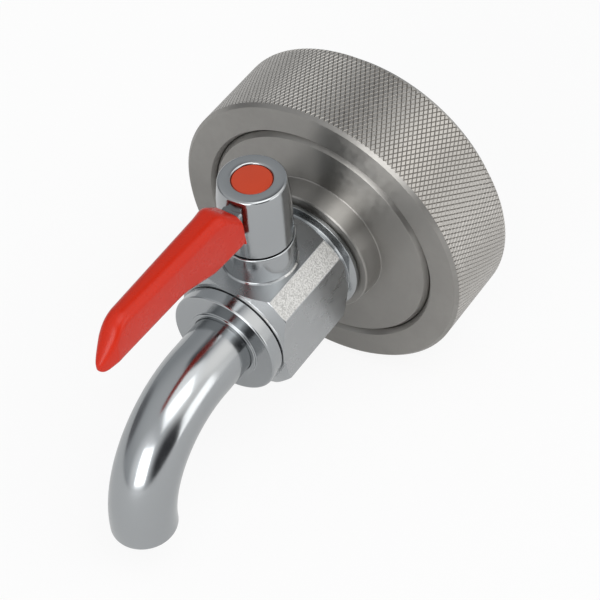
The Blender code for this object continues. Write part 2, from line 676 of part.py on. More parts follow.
def build_ball(finishes, pivot):
    """The ball, bored along the flow, with the stem's slot cut across its top."""
    shape = bmesh.new()
    around, along = SMALL_SEGMENTS, SMALL_SEGMENTS // 2
    bmesh.ops.create_uvsphere(shape, u_segments=around, v_segments=along, radius=BALL_RADIUS)
    ball = add_object("ball", shape, finishes["chrome"], parent=pivot)
    reach = BALL_RADIUS + OVERSHOOT
    bore = [(-reach, 0.0), (-reach, BALL_BORE_RADIUS), (reach, BALL_BORE_RADIUS), (reach, 0.0)]
    cutter = add_object("ball_bore", turned(bore, SMALL_SEGMENTS), rotation=ALONG_X, parent=pivot)
    combine(ball, cutter, "DIFFERENCE")
    half_slot = TANG_THICKNESS / 2 + CLEARANCE
    slot = box((-half_slot, -reach, BALL_RADIUS - BALL_SLOT_DEPTH), (half_slot, reach, reach))
    combine(ball, add_object("ball_slot", slot, parent=pivot), "DIFFERENCE")


def build_seats(finishes):
    """Two equal seats whose cupped faces follow the ball."""
    cup = BALL_RADIUS + CLEARANCE
    outer_turn = math.asin(SEAT_CUP_RADIUS / cup)
    inner_turn = math.asin(SEAT_BORE_RADIUS / cup)
    step_turn = (inner_turn - outer_turn) / CUP_STEPS
    arc = [outer_turn + step_turn * step for step in range(CUP_STEPS + 1)]
    profile = [(SEAT_REACH, SEAT_BORE_RADIUS), (SEAT_REACH, SEAT_RADIUS)]
    profile.append((cup * math.cos(outer_turn), SEAT_RADIUS))
    profile += [(cup * math.cos(turn), cup * math.sin(turn)) for turn in arc]
    place = (VALVE_X, 0, 0)
    facing_front = ALONG_X
    facing_rear = (0.0, math.radians(-90), 0.0)
    add_object("seat_front", turned(profile, SMALL_SEGMENTS), finishes["white"], place, facing_front)
    add_object("seat_rear", turned(profile, SMALL_SEGMENTS), finishes["white"], place, facing_rear)


def build_stem(finishes, pivot):
    """The stem: tang, retaining collar, two seal grooves, and flats milled for the lever's socket."""
    groove_radius = STEM_BORE_RADIUS - GROOVE_DEPTH
    hole = SCREW_RADIUS + CLEARANCE
    hole_bottom = SCREW_SEAT - SCREW_LENGTH
    tang_top = STEM_COLLAR_BOTTOM
    profile = [(tang_top, 0.0), (tang_top, STEM_COLLAR_RADIUS), (STEM_COLLAR_TOP, STEM_COLLAR_RADIUS)]
    profile.append((STEM_COLLAR_TOP, STEM_RADIUS))
    for centre in (LOWER_GROOVE, UPPER_GROOVE):
        profile.append((centre - HALF_GROOVE, STEM_RADIUS))
        profile.append((centre - HALF_GROOVE, groove_radius))
        profile.append((centre + HALF_GROOVE, groove_radius))
        profile.append((centre + HALF_GROOVE, STEM_RADIUS))
    profile += [(DRIVE_TOP, STEM_RADIUS), (DRIVE_TOP, hole), (hole_bottom, hole), (hole_bottom, 0.0)]
    stem = add_object("stem", turned(profile, SMALL_SEGMENTS), finishes["brass"], parent=pivot)
    half_tang = TANG_THICKNESS / 2
    tang_low = (-half_tang, -TANG_HALF_WIDTH, BALL_RADIUS - BALL_SLOT_DEPTH + CLEARANCE)
    tang = box(tang_low, (half_tang, TANG_HALF_WIDTH, tang_top + CLEARANCE))
    combine(stem, add_object("stem_tang", tang, parent=pivot), "UNION")
    far = STEM_COLLAR_RADIUS
    for turn in range(4):
        flat = box((DRIVE_HALF_WIDTH, -far, STOP_TOP), (far, far, DRIVE_TOP + OVERSHOOT))
        quarter = (0, 0, turn * math.radians(90))
        cutter = add_object(f"stem_flat_{turn + 1}", flat, rotation=quarter, parent=pivot)
        combine(stem, cutter, "DIFFERENCE")


def build_stem_seals(finishes, pivot):
    """The thrust washer over the stem's collar, and the two O-rings above it."""
    washer = [
        (THRUST_WASHER_BOTTOM, STEM_BORE_RADIUS),
        (THRUST_WASHER_BOTTOM, STEM_COLLAR_RADIUS),
        (THRUST_WASHER_TOP, STEM_COLLAR_RADIUS),
        (THRUST_WASHER_TOP, STEM_BORE_RADIUS),
    ]
    add_object("thrust_washer", turned(washer, TINY_SEGMENTS), finishes["white"], location=(VALVE_X, 0, 0))
    centre_radius = STEM_BORE_RADIUS - CLEARANCE - O_RING_SECTION / 2
    for name, height in (("stem_seal_lower", LOWER_GROOVE), ("stem_seal_upper", UPPER_GROOVE)):
        section = o_ring_section(height, centre_radius)
        add_object(name, turned(section, TINY_SEGMENTS), finishes["rubber"], parent=pivot)


def grip_outline():
    """The grip seen from the side, with x measured from the stem."""
    belly_x = GRIP_ROOT + GRIP_FLARE_LENGTH
    return rounded_outline([
        (GRIP_ROOT, GRIP_ROOT_BOTTOM, GRIP_ROOT_SKIRT_ROUND),
        (belly_x, GRIP_BELLY, GRIP_BELLY_ROUND),
        (belly_x + GRIP_THROAT_LENGTH, GRIP_UNDERSIDE, GRIP_THROAT_ROUND),
        (GRIP_TIP, GRIP_UNDERSIDE, GRIP_TIP_ROUND),
        (GRIP_TIP - GRIP_NOSE_LENGTH, GRIP_CREST, GRIP_NOSE_ROUND),
        (GRIP_ROOT + GRIP_SHOULDER_LENGTH, GRIP_CREST - GRIP_SHOULDER_DROP, GRIP_SHOULDER_ROUND),
        (GRIP_ROOT + GRIP_ROOT_RAKE, GRIP_ROOT_TOP, GRIP_ROOT_TOP_ROUND),
    ])


def grip_half_width(x):
    flare = 1 - smooth_step((x - GRIP_ROOT) / GRIP_FLARE_LENGTH)
    taper = (x - GRIP_ROOT) / GRIP_LENGTH
    blade = GRIP_HALF_WIDTH + (GRIP_TIP_HALF_WIDTH - GRIP_HALF_WIDTH) * taper
    return blade + (GRIP_ROOT_HALF_WIDTH - GRIP_HALF_WIDTH) * flare


def grip_shape():
    """The grip as a loft: close sections at both ends, where the outline turns quickly."""
    outline = grip_outline()
    root = min(point.x for point in outline)
    tip = max(point.x for point in outline)
    sections = []
    for step in range(GRIP_STEPS + 1):
        share = 0.5 - 0.5 * math.cos(math.pi * step / GRIP_STEPS)
        x = root + (tip - root) * min(max(share, END_SHARE), 1 - END_SHARE)
        bottom, top = span_at(outline, x)
        nose = math.sqrt(min(1.0, (tip - x) / (2 * GRIP_TIP_HALF_WIDTH)))
        half = grip_half_width(x) * nose
        section = rounded_rectangle(half, bottom, top, GRIP_EDGE_ROUND, GRIP_CORNER_STEPS)
        sections.append((x, section))
    return loft(sections)


def lever_bar(margin):
    """The bar that runs from the hub into the grip, grown on every side by the margin."""
    outline = grip_outline()
    blade_root = GRIP_ROOT + GRIP_FLARE_LENGTH
    throat = blade_root + GRIP_THROAT_LENGTH
    blade_tip = GRIP_TIP - BLADE_SETBACK
    wall = GRIP_WALL + CLEARANCE
    spans = [(HUB_RADIUS / 2, NECK_HALF_WIDTH, NECK_BOTTOM, NECK_TOP)]
    spans.append((GRIP_ROOT, NECK_HALF_WIDTH, NECK_BOTTOM, NECK_TOP))
    for x, reach in ((blade_root, blade_root), (throat, throat), (blade_tip, blade_tip + margin)):
        low, high = span_at(outline, x)
        spans.append((reach, BLADE_HALF_THICKNESS, low + wall, high - wall))
    sections = []
    for x, half, bottom, top in spans:
        span = (half + margin, bottom - margin, top + margin)
        section = rounded_rectangle(*span, BLADE_EDGE_ROUND, BLADE_CORNER_STEPS)
        sections.append((x, section))
    return loft(sections)


def build_lever(finishes, pivot):
    """The lever: a chromed hub and bar cast in one piece, and the red grip moulded over the bar."""
    screw_hole = SCREW_RADIUS + 2 * CLEARANCE
    profile = [
        (HUB_BOTTOM, HUB_RADIUS - HUB_BEVEL),
        (HUB_BOTTOM + HUB_BEVEL, HUB_RADIUS),
        (HUB_TOP - HUB_TAPER_HEIGHT, HUB_RADIUS),
        (HUB_TOP - HUB_BEVEL, HUB_TOP_RADIUS),
        (HUB_TOP, HUB_TOP_RADIUS - HUB_BEVEL),
        (HUB_TOP, RECESS_RADIUS),
        (SCREW_SEAT, RECESS_RADIUS),
        (SCREW_SEAT, screw_hole),
        (HUB_SOCKET_BOTTOM, screw_hole),
        (HUB_SOCKET_BOTTOM, HUB_CAVITY_RADIUS),
        (HUB_BOTTOM, HUB_CAVITY_RADIUS),
    ]
    hub = add_object("lever_hub", turned(profile, MEDIUM_SEGMENTS), finishes["chrome"], parent=pivot)
    combine(hub, add_object("lever_bar", lever_bar(0.0), parent=pivot), "UNION")
    recess = [(SCREW_SEAT, 0.0), (SCREW_SEAT, RECESS_RADIUS), (HUB_TOP, RECESS_RADIUS), (HUB_TOP, 0.0)]
    combine(hub, add_object("hub_recess", turned(recess, MEDIUM_SEGMENTS), parent=pivot), "DIFFERENCE")
    half = DRIVE_HALF_WIDTH + CLEARANCE
    socket = box((-half, -half, HUB_SOCKET_BOTTOM - CLEARANCE), (half, half, HUB_SOCKET_TOP))
    combine(hub, add_object("hub_socket", socket, parent=pivot), "DIFFERENCE")
    lug_start = (LEVER_TRAVEL - HUB_LUG_SWEEP) / 2
    inner, outer = STEM_BORE_RADIUS, HUB_CAVITY_RADIUS + CLEARANCE
    top = HUB_SOCKET_BOTTOM + CLEARANCE
    lug = sector(inner, outer, HUB_BOTTOM, top, lug_start, HUB_LUG_SWEEP, STOP_STEPS)
    combine(hub, add_object("hub_lug", lug, parent=pivot), "UNION")
    grip = add_object("lever_grip", grip_shape(), finishes["red"], parent=pivot)
    combine(grip, add_object("grip_pocket", lever_bar(CLEARANCE), parent=pivot), "DIFFERENCE")


def build_lock_washer(finishes, pivot):
    """The split washer under the screw's head."""
    bore = SCREW_RADIUS + CLEARANCE
    profile = [
        (LOCK_WASHER_BOTTOM, bore),
        (LOCK_WASHER_BOTTOM, LOCK_WASHER_RADIUS),
        (LOCK_WASHER_TOP, LOCK_WASHER_RADIUS),
        (LOCK_WASHER_TOP, bore),
    ]
    washer = add_object("lock_washer", turned(profile, TINY_SEGMENTS), finishes["satin"], parent=pivot)
    half_split = LOCK_WASHER_SPLIT / 2
    split = box((0, -half_split, 0), (RECESS_RADIUS, half_split, HUB_TOP))
    combine(washer, add_object("washer_split", split, parent=pivot), "DIFFERENCE")


def build_hub_screw(finishes, pivot):
    """The cross-head screw that holds the lever on the stem."""
    tip = SCREW_SEAT - SCREW_LENGTH + CLEARANCE
    profile = [
        (tip, 0.0),
        (tip, SCREW_RADIUS - SCREW_TIP_CHAMFER),
        (tip + SCREW_TIP_CHAMFER, SCREW_RADIUS),
        (SCREW_HEAD_BOTTOM, SCREW_RADIUS),
        (SCREW_HEAD_BOTTOM, SCREW_HEAD_RADIUS),
        (SCREW_HEAD_TOP - SCREW_HEAD_EDGE, SCREW_HEAD_RADIUS),
        (SCREW_HEAD_TOP, SCREW_HEAD_RADIUS - SCREW_HEAD_EDGE),
        (SCREW_HEAD_TOP, 0.0),
    ]
    screw = add_object("hub_screw", turned(profile, TINY_SEGMENTS), finishes["satin"], parent=pivot)
    half_cross, half_arm = CROSS_WIDTH / 2, CROSS_LENGTH / 2
    for number, turn in enumerate((0, 90)):
        arm = box((-half_arm, -half_cross, SCREW_HEAD_TOP - CROSS_DEPTH), (half_arm, half_cross, HUB_TOP))
        cutter = add_object(f"cross_{number + 1}", arm, rotation=(0, 0, math.radians(turn)), parent=pivot)
        combine(screw, cutter, "DIFFERENCE")


def build_indicator_cap(finishes, pivot):
    """The cap that closes the hub's recess, with a skirt that goes down round the screw's head."""
    profile = [
        (INDICATOR_UNDER, 0.0),
        (INDICATOR_UNDER, INDICATOR_BORE),
        (INDICATOR_UNDER - INDICATOR_SKIRT, INDICATOR_BORE),
        (INDICATOR_UNDER - INDICATOR_SKIRT, INDICATOR_RADIUS),
        (INDICATOR_TOP - INDICATOR_EDGE, INDICATOR_RADIUS),
        (INDICATOR_TOP, INDICATOR_RADIUS - INDICATOR_EDGE),
        (INDICATOR_TOP, 0.0),
    ]
    add_object("indicator_cap", turned(profile, SMALL_SEGMENTS), finishes["orange"], parent=pivot)


def build_spout_collar(finishes):
    """The turned collar: screwed spigot with a seal groove, round flange, and the lip round the pipe."""
    spigot = COLLAR_THREAD_RADIUS - CLEARANCE
    groove = COLLAR_THREAD_RADIUS - GROOVE_DEPTH
    groove_front = BODY_FRONT_X - CLEARANCE
    groove_rear = groove_front - 2 * HALF_GROOVE
    socket = SPOUT_RADIUS + CLEARANCE
    lip_radius = SPOUT_RADIUS + COLLAR_LIP_WIDTH
    profile = [
        (INSERT_REAR_X, PASSAGE_RADIUS),
        (INSERT_REAR_X, spigot),
        (groove_rear, spigot),
        (groove_rear, groove),
        (groove_front, groove),
        (groove_front, spigot),
        (COLLAR_REAR_X, spigot),
        (COLLAR_REAR_X, COLLAR_RADIUS),
        (COLLAR_FRONT_X - COLLAR_CHAMFER, COLLAR_RADIUS),
        (COLLAR_FRONT_X, COLLAR_RADIUS - COLLAR_CHAMFER),
        (COLLAR_FRONT_X, lip_radius),
        (LIP_FRONT_X - COLLAR_LIP_EDGE, lip_radius),
        (LIP_FRONT_X, lip_radius - COLLAR_LIP_EDGE),
        (LIP_FRONT_X, socket),
        (SOCKET_REAR_X, socket),
        (SOCKET_REAR_X, PASSAGE_RADIUS),
    ]
    add_object("spout_collar", turned(profile, MEDIUM_SEGMENTS), finishes["chrome"], rotation=ALONG_X)
    centre = (groove_front + groove_rear) / 2
    centre_radius = COLLAR_THREAD_RADIUS - CLEARANCE - O_RING_SECTION / 2
    section = o_ring_section(centre, centre_radius)
    add_object("collar_seal", turned(section, SMALL_SEGMENTS), finishes["rubber"], rotation=ALONG_X)


def pipe_ring(shape, radius, x, z, turn, segments):
    """One circle of the pipe's wall, square to its path, as a list of vertices."""
    ring = []
    for step in range(segments):
        angle = math.tau * step / segments
        outward = radius * math.cos(angle)
        across = radius * math.sin(angle)
        ring.append(shape.verts.new((x + outward * math.sin(turn), across, z + outward * math.cos(turn))))
    return ring


def build_spout_tube(finishes):
    """The spout: a straight lead, a quarter bend downwards and a short straight end, bored through."""
    stations = [(SOCKET_REAR_X + CLEARANCE, 0.0, 0.0)]
    for step in range(BEND_STEPS + 1):
        turn = math.radians(90) * step / BEND_STEPS
        x = BEND_START_X + SPOUT_BEND_RADIUS * math.sin(turn)
        stations.append((x, SPOUT_BEND_RADIUS * (math.cos(turn) - 1), turn))
    end_x, end_z = BEND_START_X + SPOUT_BEND_RADIUS, -SPOUT_BEND_RADIUS - SPOUT_DROP
    stations.append((end_x, end_z, math.radians(90)))
    shape = bmesh.new()
    walls = []
    for radius in (SPOUT_RADIUS, SPOUT_BORE_RADIUS):
        walls.append([pipe_ring(shape, radius, *station, SMALL_SEGMENTS) for station in stations])
    outer, inner = walls
    loop = outer + inner[::-1]
    for first, second in zip(loop, loop[1:] + loop[:1]):
        for index in range(SMALL_SEGMENTS):
            after = (index + 1) % SMALL_SEGMENTS
            shape.faces.new((first[index], first[after], second[after], second[index]))
    add_object("spout_tube", shape, finishes["chrome"])


def build():
    clear_scene()
    finishes = make_finishes()
    pivot = bpy.data.objects.new("lever_pivot", None)
    pivot.location = (VALVE_X, 0, 0)
    bpy.context.scene.collection.objects.link(pivot)
    build_ring_nut(finishes)
    build_flange_disc(finishes)
    build_neck_gasket(finishes)
    build_body_seal(finishes)
    build_valve_body(finishes)
    build_seats(finishes)
    build_ball(finishes, pivot)
    build_stem(finishes, pivot)
    build_stem_seals(finishes, pivot)
    build_lever(finishes, pivot)
    build_lock_washer(finishes, pivot)
    build_hub_screw(finishes, pivot)
    build_indicator_cap(finishes, pivot)
    build_spout_collar(finishes)
    build_spout_tube(finishes)


build()
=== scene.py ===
"""Looks of the drum tap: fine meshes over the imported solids, materials, camera, floor and soft light."""

import math
from collections import namedtuple

import bmesh
import bpy
from mathutils import Matrix, Vector

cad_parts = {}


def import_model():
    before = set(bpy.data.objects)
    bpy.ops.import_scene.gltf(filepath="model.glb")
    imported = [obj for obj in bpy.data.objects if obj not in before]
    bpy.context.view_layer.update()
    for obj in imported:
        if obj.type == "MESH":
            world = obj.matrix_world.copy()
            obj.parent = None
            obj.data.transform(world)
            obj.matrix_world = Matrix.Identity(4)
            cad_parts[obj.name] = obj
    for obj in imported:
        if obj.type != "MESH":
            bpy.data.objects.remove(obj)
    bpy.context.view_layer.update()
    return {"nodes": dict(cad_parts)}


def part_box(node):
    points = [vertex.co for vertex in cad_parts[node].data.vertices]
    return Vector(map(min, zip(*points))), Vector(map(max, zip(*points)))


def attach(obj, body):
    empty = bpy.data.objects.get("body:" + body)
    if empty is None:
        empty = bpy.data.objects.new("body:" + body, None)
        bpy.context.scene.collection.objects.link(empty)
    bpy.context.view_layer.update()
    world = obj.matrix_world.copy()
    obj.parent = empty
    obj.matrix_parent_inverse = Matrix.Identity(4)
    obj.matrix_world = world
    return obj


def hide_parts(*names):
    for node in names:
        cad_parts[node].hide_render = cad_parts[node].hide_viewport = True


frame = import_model()
NODES = frame["nodes"]
MM = 0.001

Corner = namedtuple("Corner", "x y z")


def extent(node):
    """The low and the high corner of a solid's box, in millimetres."""
    return [Corner(*(round(c / MM, 2) for c in corner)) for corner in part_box(node)]


# Sizes in millimetres and angles in degrees, read off the solids as far as their boxes show them

RING_LOW, RING_HIGH = extent("ring_nut")
DISC_LOW, DISC_HIGH = extent("flange_disc")
TAIL_SEAL_LOW, TAIL_SEAL_HIGH = extent("body_seal")
BODY_LOW, BODY_HIGH = extent("valve_body")
SEAT_LOW, SEAT_HIGH = extent("seat_rear")
STEM_LOW, STEM_HIGH = extent("stem")
THRUST_HIGH = extent("thrust_washer")[1]
COLLAR_LOW, COLLAR_HIGH = extent("spout_collar")
COLLAR_SEAL_LOW, COLLAR_SEAL_HIGH = extent("collar_seal")
SPOUT_LOW, SPOUT_HIGH = extent("spout_tube")
HUB_LOW, HUB_HIGH = extent("lever_hub")
WASHER_LOW = extent("lock_washer")[0]
CAP_LOW, CAP_HIGH = extent("indicator_cap")

CLEARANCE = 0.3
RING_REAR_X = RING_LOW.x
FACE_X = RING_HIGH.x
RING_RADIUS = RING_HIGH.z
LIP_REAR_X = FACE_X - 3.2
BOSS_FRONT_X = DISC_HIGH.x
DISC_BOSS = 17.0
BODY_REAR_X = TAIL_SEAL_HIGH.x + CLEARANCE
BODY_FRONT_X = BODY_HIGH.x
COLLAR_RADIUS = COLLAR_HIGH.z
BODY_HALF = COLLAR_RADIUS + 0.2
BODY_CUT = 4.0
BODY_TURNED = BODY_HALF - 0.2
BODY_END = BODY_HALF + 0.15
TAIL_RADIUS = 10.4
FLOW_BORE = 6.5
COLLAR_FACE_X = BODY_FRONT_X + 0.17
COLLAR_FRONT_X = COLLAR_HIGH.x - 0.5
COLLAR_PLUG = 10.7
VALVE_X = (STEM_LOW.x + STEM_HIGH.x) / 2
SEAT_ROOM = SEAT_HIGH.z + CLEARANCE
STEM_BORE = 4.3
STEM_BOSS_TOP = HUB_LOW.z - 0.5
STEM_BOSS_RADIUS = 8.3
STEM_BOSS_FILLET = 0.35
STOP_TOP = BODY_HIGH.z
STOP_START = 104.0
STOP_SWEEP = 152.0
LUG_START = -10.0
LUG_SWEEP = 110.0
HUB_BOTTOM = HUB_LOW.z - 0.2
HUB_TOP = CAP_HIGH.z + 0.3
HUB_RADIUS = HUB_HIGH.y
HUB_INSIDE = HUB_RADIUS - 1.85
RECESS_RADIUS = CAP_HIGH.y + CLEARANCE
CAP_RADIUS = CAP_HIGH.y + 0.22
SCREW_BORE = 2.4
SCREW_SEAT = WASHER_LOW.z - CLEARANCE
SOCKET_HALF = 3.5
GRIP_ROOT = 9.0
GRIP_LENGTH = 48.0
GRIP_FLARE_LENGTH = 8.9
GRIP_BELLY = GRIP_ROOT + GRIP_FLARE_LENGTH
GRIP_THROAT = GRIP_ROOT + 19.7
GRIP_HALF = 3.4
GRIP_FLARE = 0.7
GRIP_TAPER = 1.2
GRIP_EDGE = 2.3
GRIP_NOSE = 4.4
GRIP_WALL = 1.2
NECK_HALF = 2.4
NECK_BOTTOM = 28.7
NECK_TOP = 34.5
BLADE_HALF = 1.0
BLADE_EDGE = 0.5
BLADE_TIP = HUB_HIGH.x - VALVE_X
SPOUT_RADIUS = SPOUT_HIGH.z
SPOUT_BORE = SPOUT_RADIUS - 1.0
SPOUT_DROP = 1.0
SPOUT_BEND_RADIUS = -SPOUT_LOW.z - SPOUT_DROP
SPOUT_BEND_X = SPOUT_HIGH.x - SPOUT_RADIUS - SPOUT_BEND_RADIUS

AXIS_X = Matrix(((0, 0, 1), (0, 1, 0), (-1, 0, 0)))
AXIS_Z = Matrix.Identity(3)


# Meshes

def new_object(name, verts, faces):
    mesh = bpy.data.meshes.new(name)
    mesh.from_pydata([[c * MM for c in v] for v in verts], [], faces)
    mesh.validate()
    item = bpy.data.objects.new(name, mesh)
    bpy.context.scene.collection.objects.link(item)
    mesh.shade_smooth()
    return item


def corner_arcs(profile, radius, steps=4):
    """The closed profile with every corner rounded, by no more than its short sides allow."""
    points = [Vector(p[:2]) for p in profile]
    radii = [p[2] if len(p) > 2 else radius for p in profile]
    result = []
    for index, here in enumerate(points):
        before = points[index - 1] - here
        after = points[(index + 1) % len(points)] - here
        if radii[index] <= 0 or before.length < 1e-6 or after.length < 1e-6:
            result.append(here)
            continue
        half = before.angle(after) / 2
        if half > math.radians(86):
            result.append(here)
            continue
        reach = min(radii[index] / math.tan(half), 0.42 * before.length, 0.42 * after.length)
        size = reach * math.tan(half)
        centre = here + (before.normalized() + after.normalized()).normalized() * size / math.sin(half)
        first = here + before.normalized() * reach - centre
        last = here + after.normalized() * reach - centre
        sweep = math.atan2(first.x * last.y - first.y * last.x, first.dot(last))
        for step in range(steps + 1):
            turn = sweep * step / steps
            cosine, sine = math.cos(turn), math.sin(turn)
            turned_x = first.x * cosine - first.y * sine
            turned_y = first.x * sine + first.y * cosine
            result.append(centre + Vector((turned_x, turned_y)))
    return result


def turned(name, profile, segments=160, axis=AXIS_X, centre=(0, 0, 0), radius=0.12):
    """A closed (height, radius) profile turned about an axis. Points on the axis become one vertex."""
    outline = corner_arcs(profile, radius)
    verts, rings = [], []
    for height, away in outline:
        if away < 1e-6:
            rings.append([len(verts)] * segments)
            verts.append((0.0, 0.0, height))
            continue
        rings.append([len(verts) + k for k in range(segments)])
        for k in range(segments):
            turn = math.tau * k / segments
            verts.append((away * math.cos(turn), away * math.sin(turn), height))
    faces = []
    for first, second in zip(rings, rings[1:] + rings[:1]):
        for k in range(segments):
            after = (k + 1) % segments
            face = [first[k], first[after], second[after], second[k]]
            face = [v for n, v in enumerate(face) if v != face[n - 1]]
            if len(face) > 2:
                faces.append(face)
    shift = Vector(centre)
    item = new_object(name, [(axis @ Vector(v)) + shift for v in verts], faces)
    outward(item)
    return item


def sector(name, inner, outer, bottom, top, start, sweep, centre, steps=40):
    """A length of square ring about Z, from the start angle and over the sweep, in degrees."""
    rings = []
    for step in range(steps + 1):
        turn = math.radians(start + sweep * step / steps)
        across, along = math.cos(turn), math.sin(turn)
        corners = [(inner, bottom), (outer, bottom), (outer, top), (inner, top)]
        rings.append([(centre[0] + r * across, centre[1] + r * along, centre[2] + z) for r, z in corners])
    return lofted(name, rings)


def outward(item):
    shape = bmesh.new()
    shape.from_mesh(item.data)
    bmesh.ops.recalc_face_normals(shape, faces=shape.faces)
    shape.to_mesh(item.data)
    shape.free()


def lofted(name, rings):
    """A closed solid through rings of equal length, with its ends filled."""
    count = len(rings[0])
    verts = [point for ring in rings for point in ring]
    faces = [list(range(count)), list(range(len(verts) - count, len(verts)))]
    for number in range(len(rings) - 1):
        for k in range(count):
            after = (k + 1) % count
            low, high = number * count, (number + 1) * count
            faces.append([low + k, low + after, high + after, high + k])
    item = new_object(name, verts, faces)
    outward(item)
    return item


def boolean(target, tool, operation):
    modifier = target.modifiers.new(tool.name, "BOOLEAN")
    modifier.operation = operation
    modifier.solver = "EXACT"
    modifier.object = tool
    apply_modifiers(target)
    bpy.data.objects.remove(tool, do_unlink=True)


def apply_modifiers(item):
    bpy.context.view_layer.update()
    made = bpy.data.meshes.new_from_object(item.evaluated_get(bpy.context.evaluated_depsgraph_get()))
    item.modifiers.clear()
    old = item.data
    item.data = made
    made.name = item.name
    bpy.data.meshes.remove(old)


def crisp(item, angle=32):
    """Sharp corners stay sharp, and large faces keep flat normals beside small roundings."""
    item.data.shade_smooth()
    item.data.set_sharp_from_angle(angle=math.radians(angle))
    weighted = item.modifiers.new("normals", "WEIGHTED_NORMAL")
    weighted.keep_sharp = True
    weighted.weight = 60
    apply_modifiers(item)
    return item


def place(item, body, slot, looks, *nodes):
    """Gives the piece its one material or list of materials and its body, and hides the solids that it
    stands for; the slot is not used.
    """
    for look in looks if isinstance(looks, list) else [looks]:
        item.data.materials.append(look)
    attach(item, body)
    if nodes:
        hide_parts(*nodes)
    return item


# Materials

def material(name, colour, roughness, metallic, anisotropic=0.0):
    made = bpy.data.materials.new(name)
    made.use_nodes = True
    tree = made.node_tree
    shader = tree.nodes["Principled BSDF"]
    shader.inputs["Base Color"].default_value = (*colour, 1)
    shader.inputs["Roughness"].default_value = roughness
    shader.inputs["Metallic"].default_value = metallic
    shader.inputs["Anisotropic"].default_value = anisotropic
    return made, tree, shader


def noise(tree, scale, detail):
    coordinates = tree.nodes.new("ShaderNodeTexCoord")
    texture = tree.nodes.new("ShaderNodeTexNoise")
    texture.inputs["Scale"].default_value = scale
    texture.inputs["Detail"].default_value = detail
    tree.links.new(coordinates.outputs["Object"], texture.inputs["Vector"])
    return texture


def vary(tree, shader, socket, texture, low, high, start=0.3, end=0.7):
    """Drives a socket between two values or two colours with a texture."""
    if isinstance(low, (tuple, list)):
        ramp = tree.nodes.new("ShaderNodeValToRGB")
        ramp.color_ramp.elements[0].position = start
        ramp.color_ramp.elements[1].position = end
        ramp.color_ramp.elements[0].color = (*low, 1)
        ramp.color_ramp.elements[1].color = (*high, 1)
        tree.links.new(texture.outputs["Fac"], ramp.inputs["Fac"])
        tree.links.new(ramp.outputs["Color"], shader.inputs[socket])
        return
    spread = tree.nodes.new("ShaderNodeMapRange")
    spread.inputs["From Min"].default_value = start
    spread.inputs["From Max"].default_value = end
    spread.inputs["To Min"].default_value = low
    spread.inputs["To Max"].default_value = high
    tree.links.new(texture.outputs["Fac"], spread.inputs["Value"])
    tree.links.new(spread.outputs["Result"], shader.inputs[socket])


def bump(tree, shader, texture, distance, strength):
    node = tree.nodes.new("ShaderNodeBump")
    node.inputs["Distance"].default_value = distance
    node.inputs["Strength"].default_value = strength
    tree.links.new(texture.outputs["Fac"], node.inputs["Height"])
    tree.links.new(node.outputs["Normal"], shader.inputs["Normal"])


def turned_steel(name, colour, roughness, axis="X", grain=0.95):
    """Turned metal: fine circular tool marks that stretch each highlight across them."""
    made, tree, shader = material(name, colour, roughness, 1.0, grain)
    tangent = tree.nodes.new("ShaderNodeTangent")
    tangent.direction_type = "RADIAL"
    tangent.axis = axis
    tree.links.new(tangent.outputs["Tangent"], shader.inputs["Tangent"])
    shader.inputs["Anisotropic Rotation"].default_value = 0.25
    vary(tree, shader, "Base Color", noise(tree, 90, 4), tuple(c * 0.93 for c in colour), colour)
    vary(tree, shader, "Roughness", noise(tree, 700, 2), roughness * 0.9, roughness * 1.12)
    return made


def polished(name, colour, roughness, waves=0.000012):
    """Plating over a hand-finished surface: nearly a mirror, with slow waves left by the buffing."""
    made, tree, shader = material(name, colour, roughness, 1.0)
    vary(tree, shader, "Roughness", noise(tree, 160, 3), roughness * 0.8, roughness * 1.25)
    vary(tree, shader, "Base Color", noise(tree, 60, 3), tuple(c * 0.97 for c in colour), colour)
    bump(tree, shader, noise(tree, 260, 2), waves, 0.6)
    return made


def blasted(name, colour, roughness):
    """Bead-blasted casting under the plating: a close grain with a few deeper pits."""
    made, tree, shader = material(name, colour, roughness, 1.0)
    grain = noise(tree, 2700, 2)
    vary(tree, shader, "Base Color", grain, tuple(c * 0.68 for c in colour), colour, 0.36, 0.62)
    bump(tree, shader, grain, 0.00010, 1.0)
    return made


def plastic(name, colour, darker, roughness, grain=1800, depth=0.00001, specular=0.5):
    made, tree, shader = material(name, colour, roughness, 0.0)
    shader.inputs["Specular IOR Level"].default_value = specular
    vary(tree, shader, "Base Color", noise(tree, 45, 4), darker, colour)
    vary(tree, shader, "Roughness", noise(tree, 300, 3), roughness * 0.85, roughness * 1.2)
    bump(tree, shader, noise(tree, grain, 3), depth, 0.25)
    return made


STEEL = turned_steel("turned_stainless", (0.34, 0.33, 0.313), 0.36)
# Painted highlight: the knurl's flat tops are stainless painted lighter than the turned face.
KNURL_PAINTED_HIGHLIGHT = turned_steel("knurl_tops_painted_highlight", (0.49, 0.475, 0.45), 0.34, grain=0.6)
# Painted shade: the knurl's cut walls are the same stainless, painted darker as shade in the grooves.
KNURL_CUT_PAINTED_SHADE = turned_steel("knurl_cuts_painted_shade", (0.35, 0.335, 0.315), 0.42, grain=0.3)
CHROME = polished("chrome_plate", (0.39, 0.405, 0.415), 0.16)
CAST = polished("polished_casting", (0.39, 0.405, 0.415), 0.19, 0.00005)
SATIN = polished("satin_chrome", (0.42, 0.432, 0.44), 0.28, 0.00001)
BLASTED = blasted("blasted_plate", (0.60, 0.60, 0.59), 0.45)
BRASS = turned_steel("machined_brass", (0.72, 0.52, 0.24), 0.28, "Z")
RED = plastic("red_vinyl", (0.49, 0.020, 0.006), (0.47, 0.018, 0.005), 0.28, 60, 0.00002, specular=0.22)
ORANGE = plastic("orange_plastic", (0.53, 0.052, 0.014), (0.46, 0.042, 0.011), 0.34, specular=0.4)
PTFE = plastic("white_ptfe", (0.82, 0.82, 0.79), (0.76, 0.76, 0.73), 0.55)
RUBBER = plastic("black_rubber", (0.030, 0.030, 0.031), (0.022, 0.022, 0.023), 0.7, 1500, 0.00004)
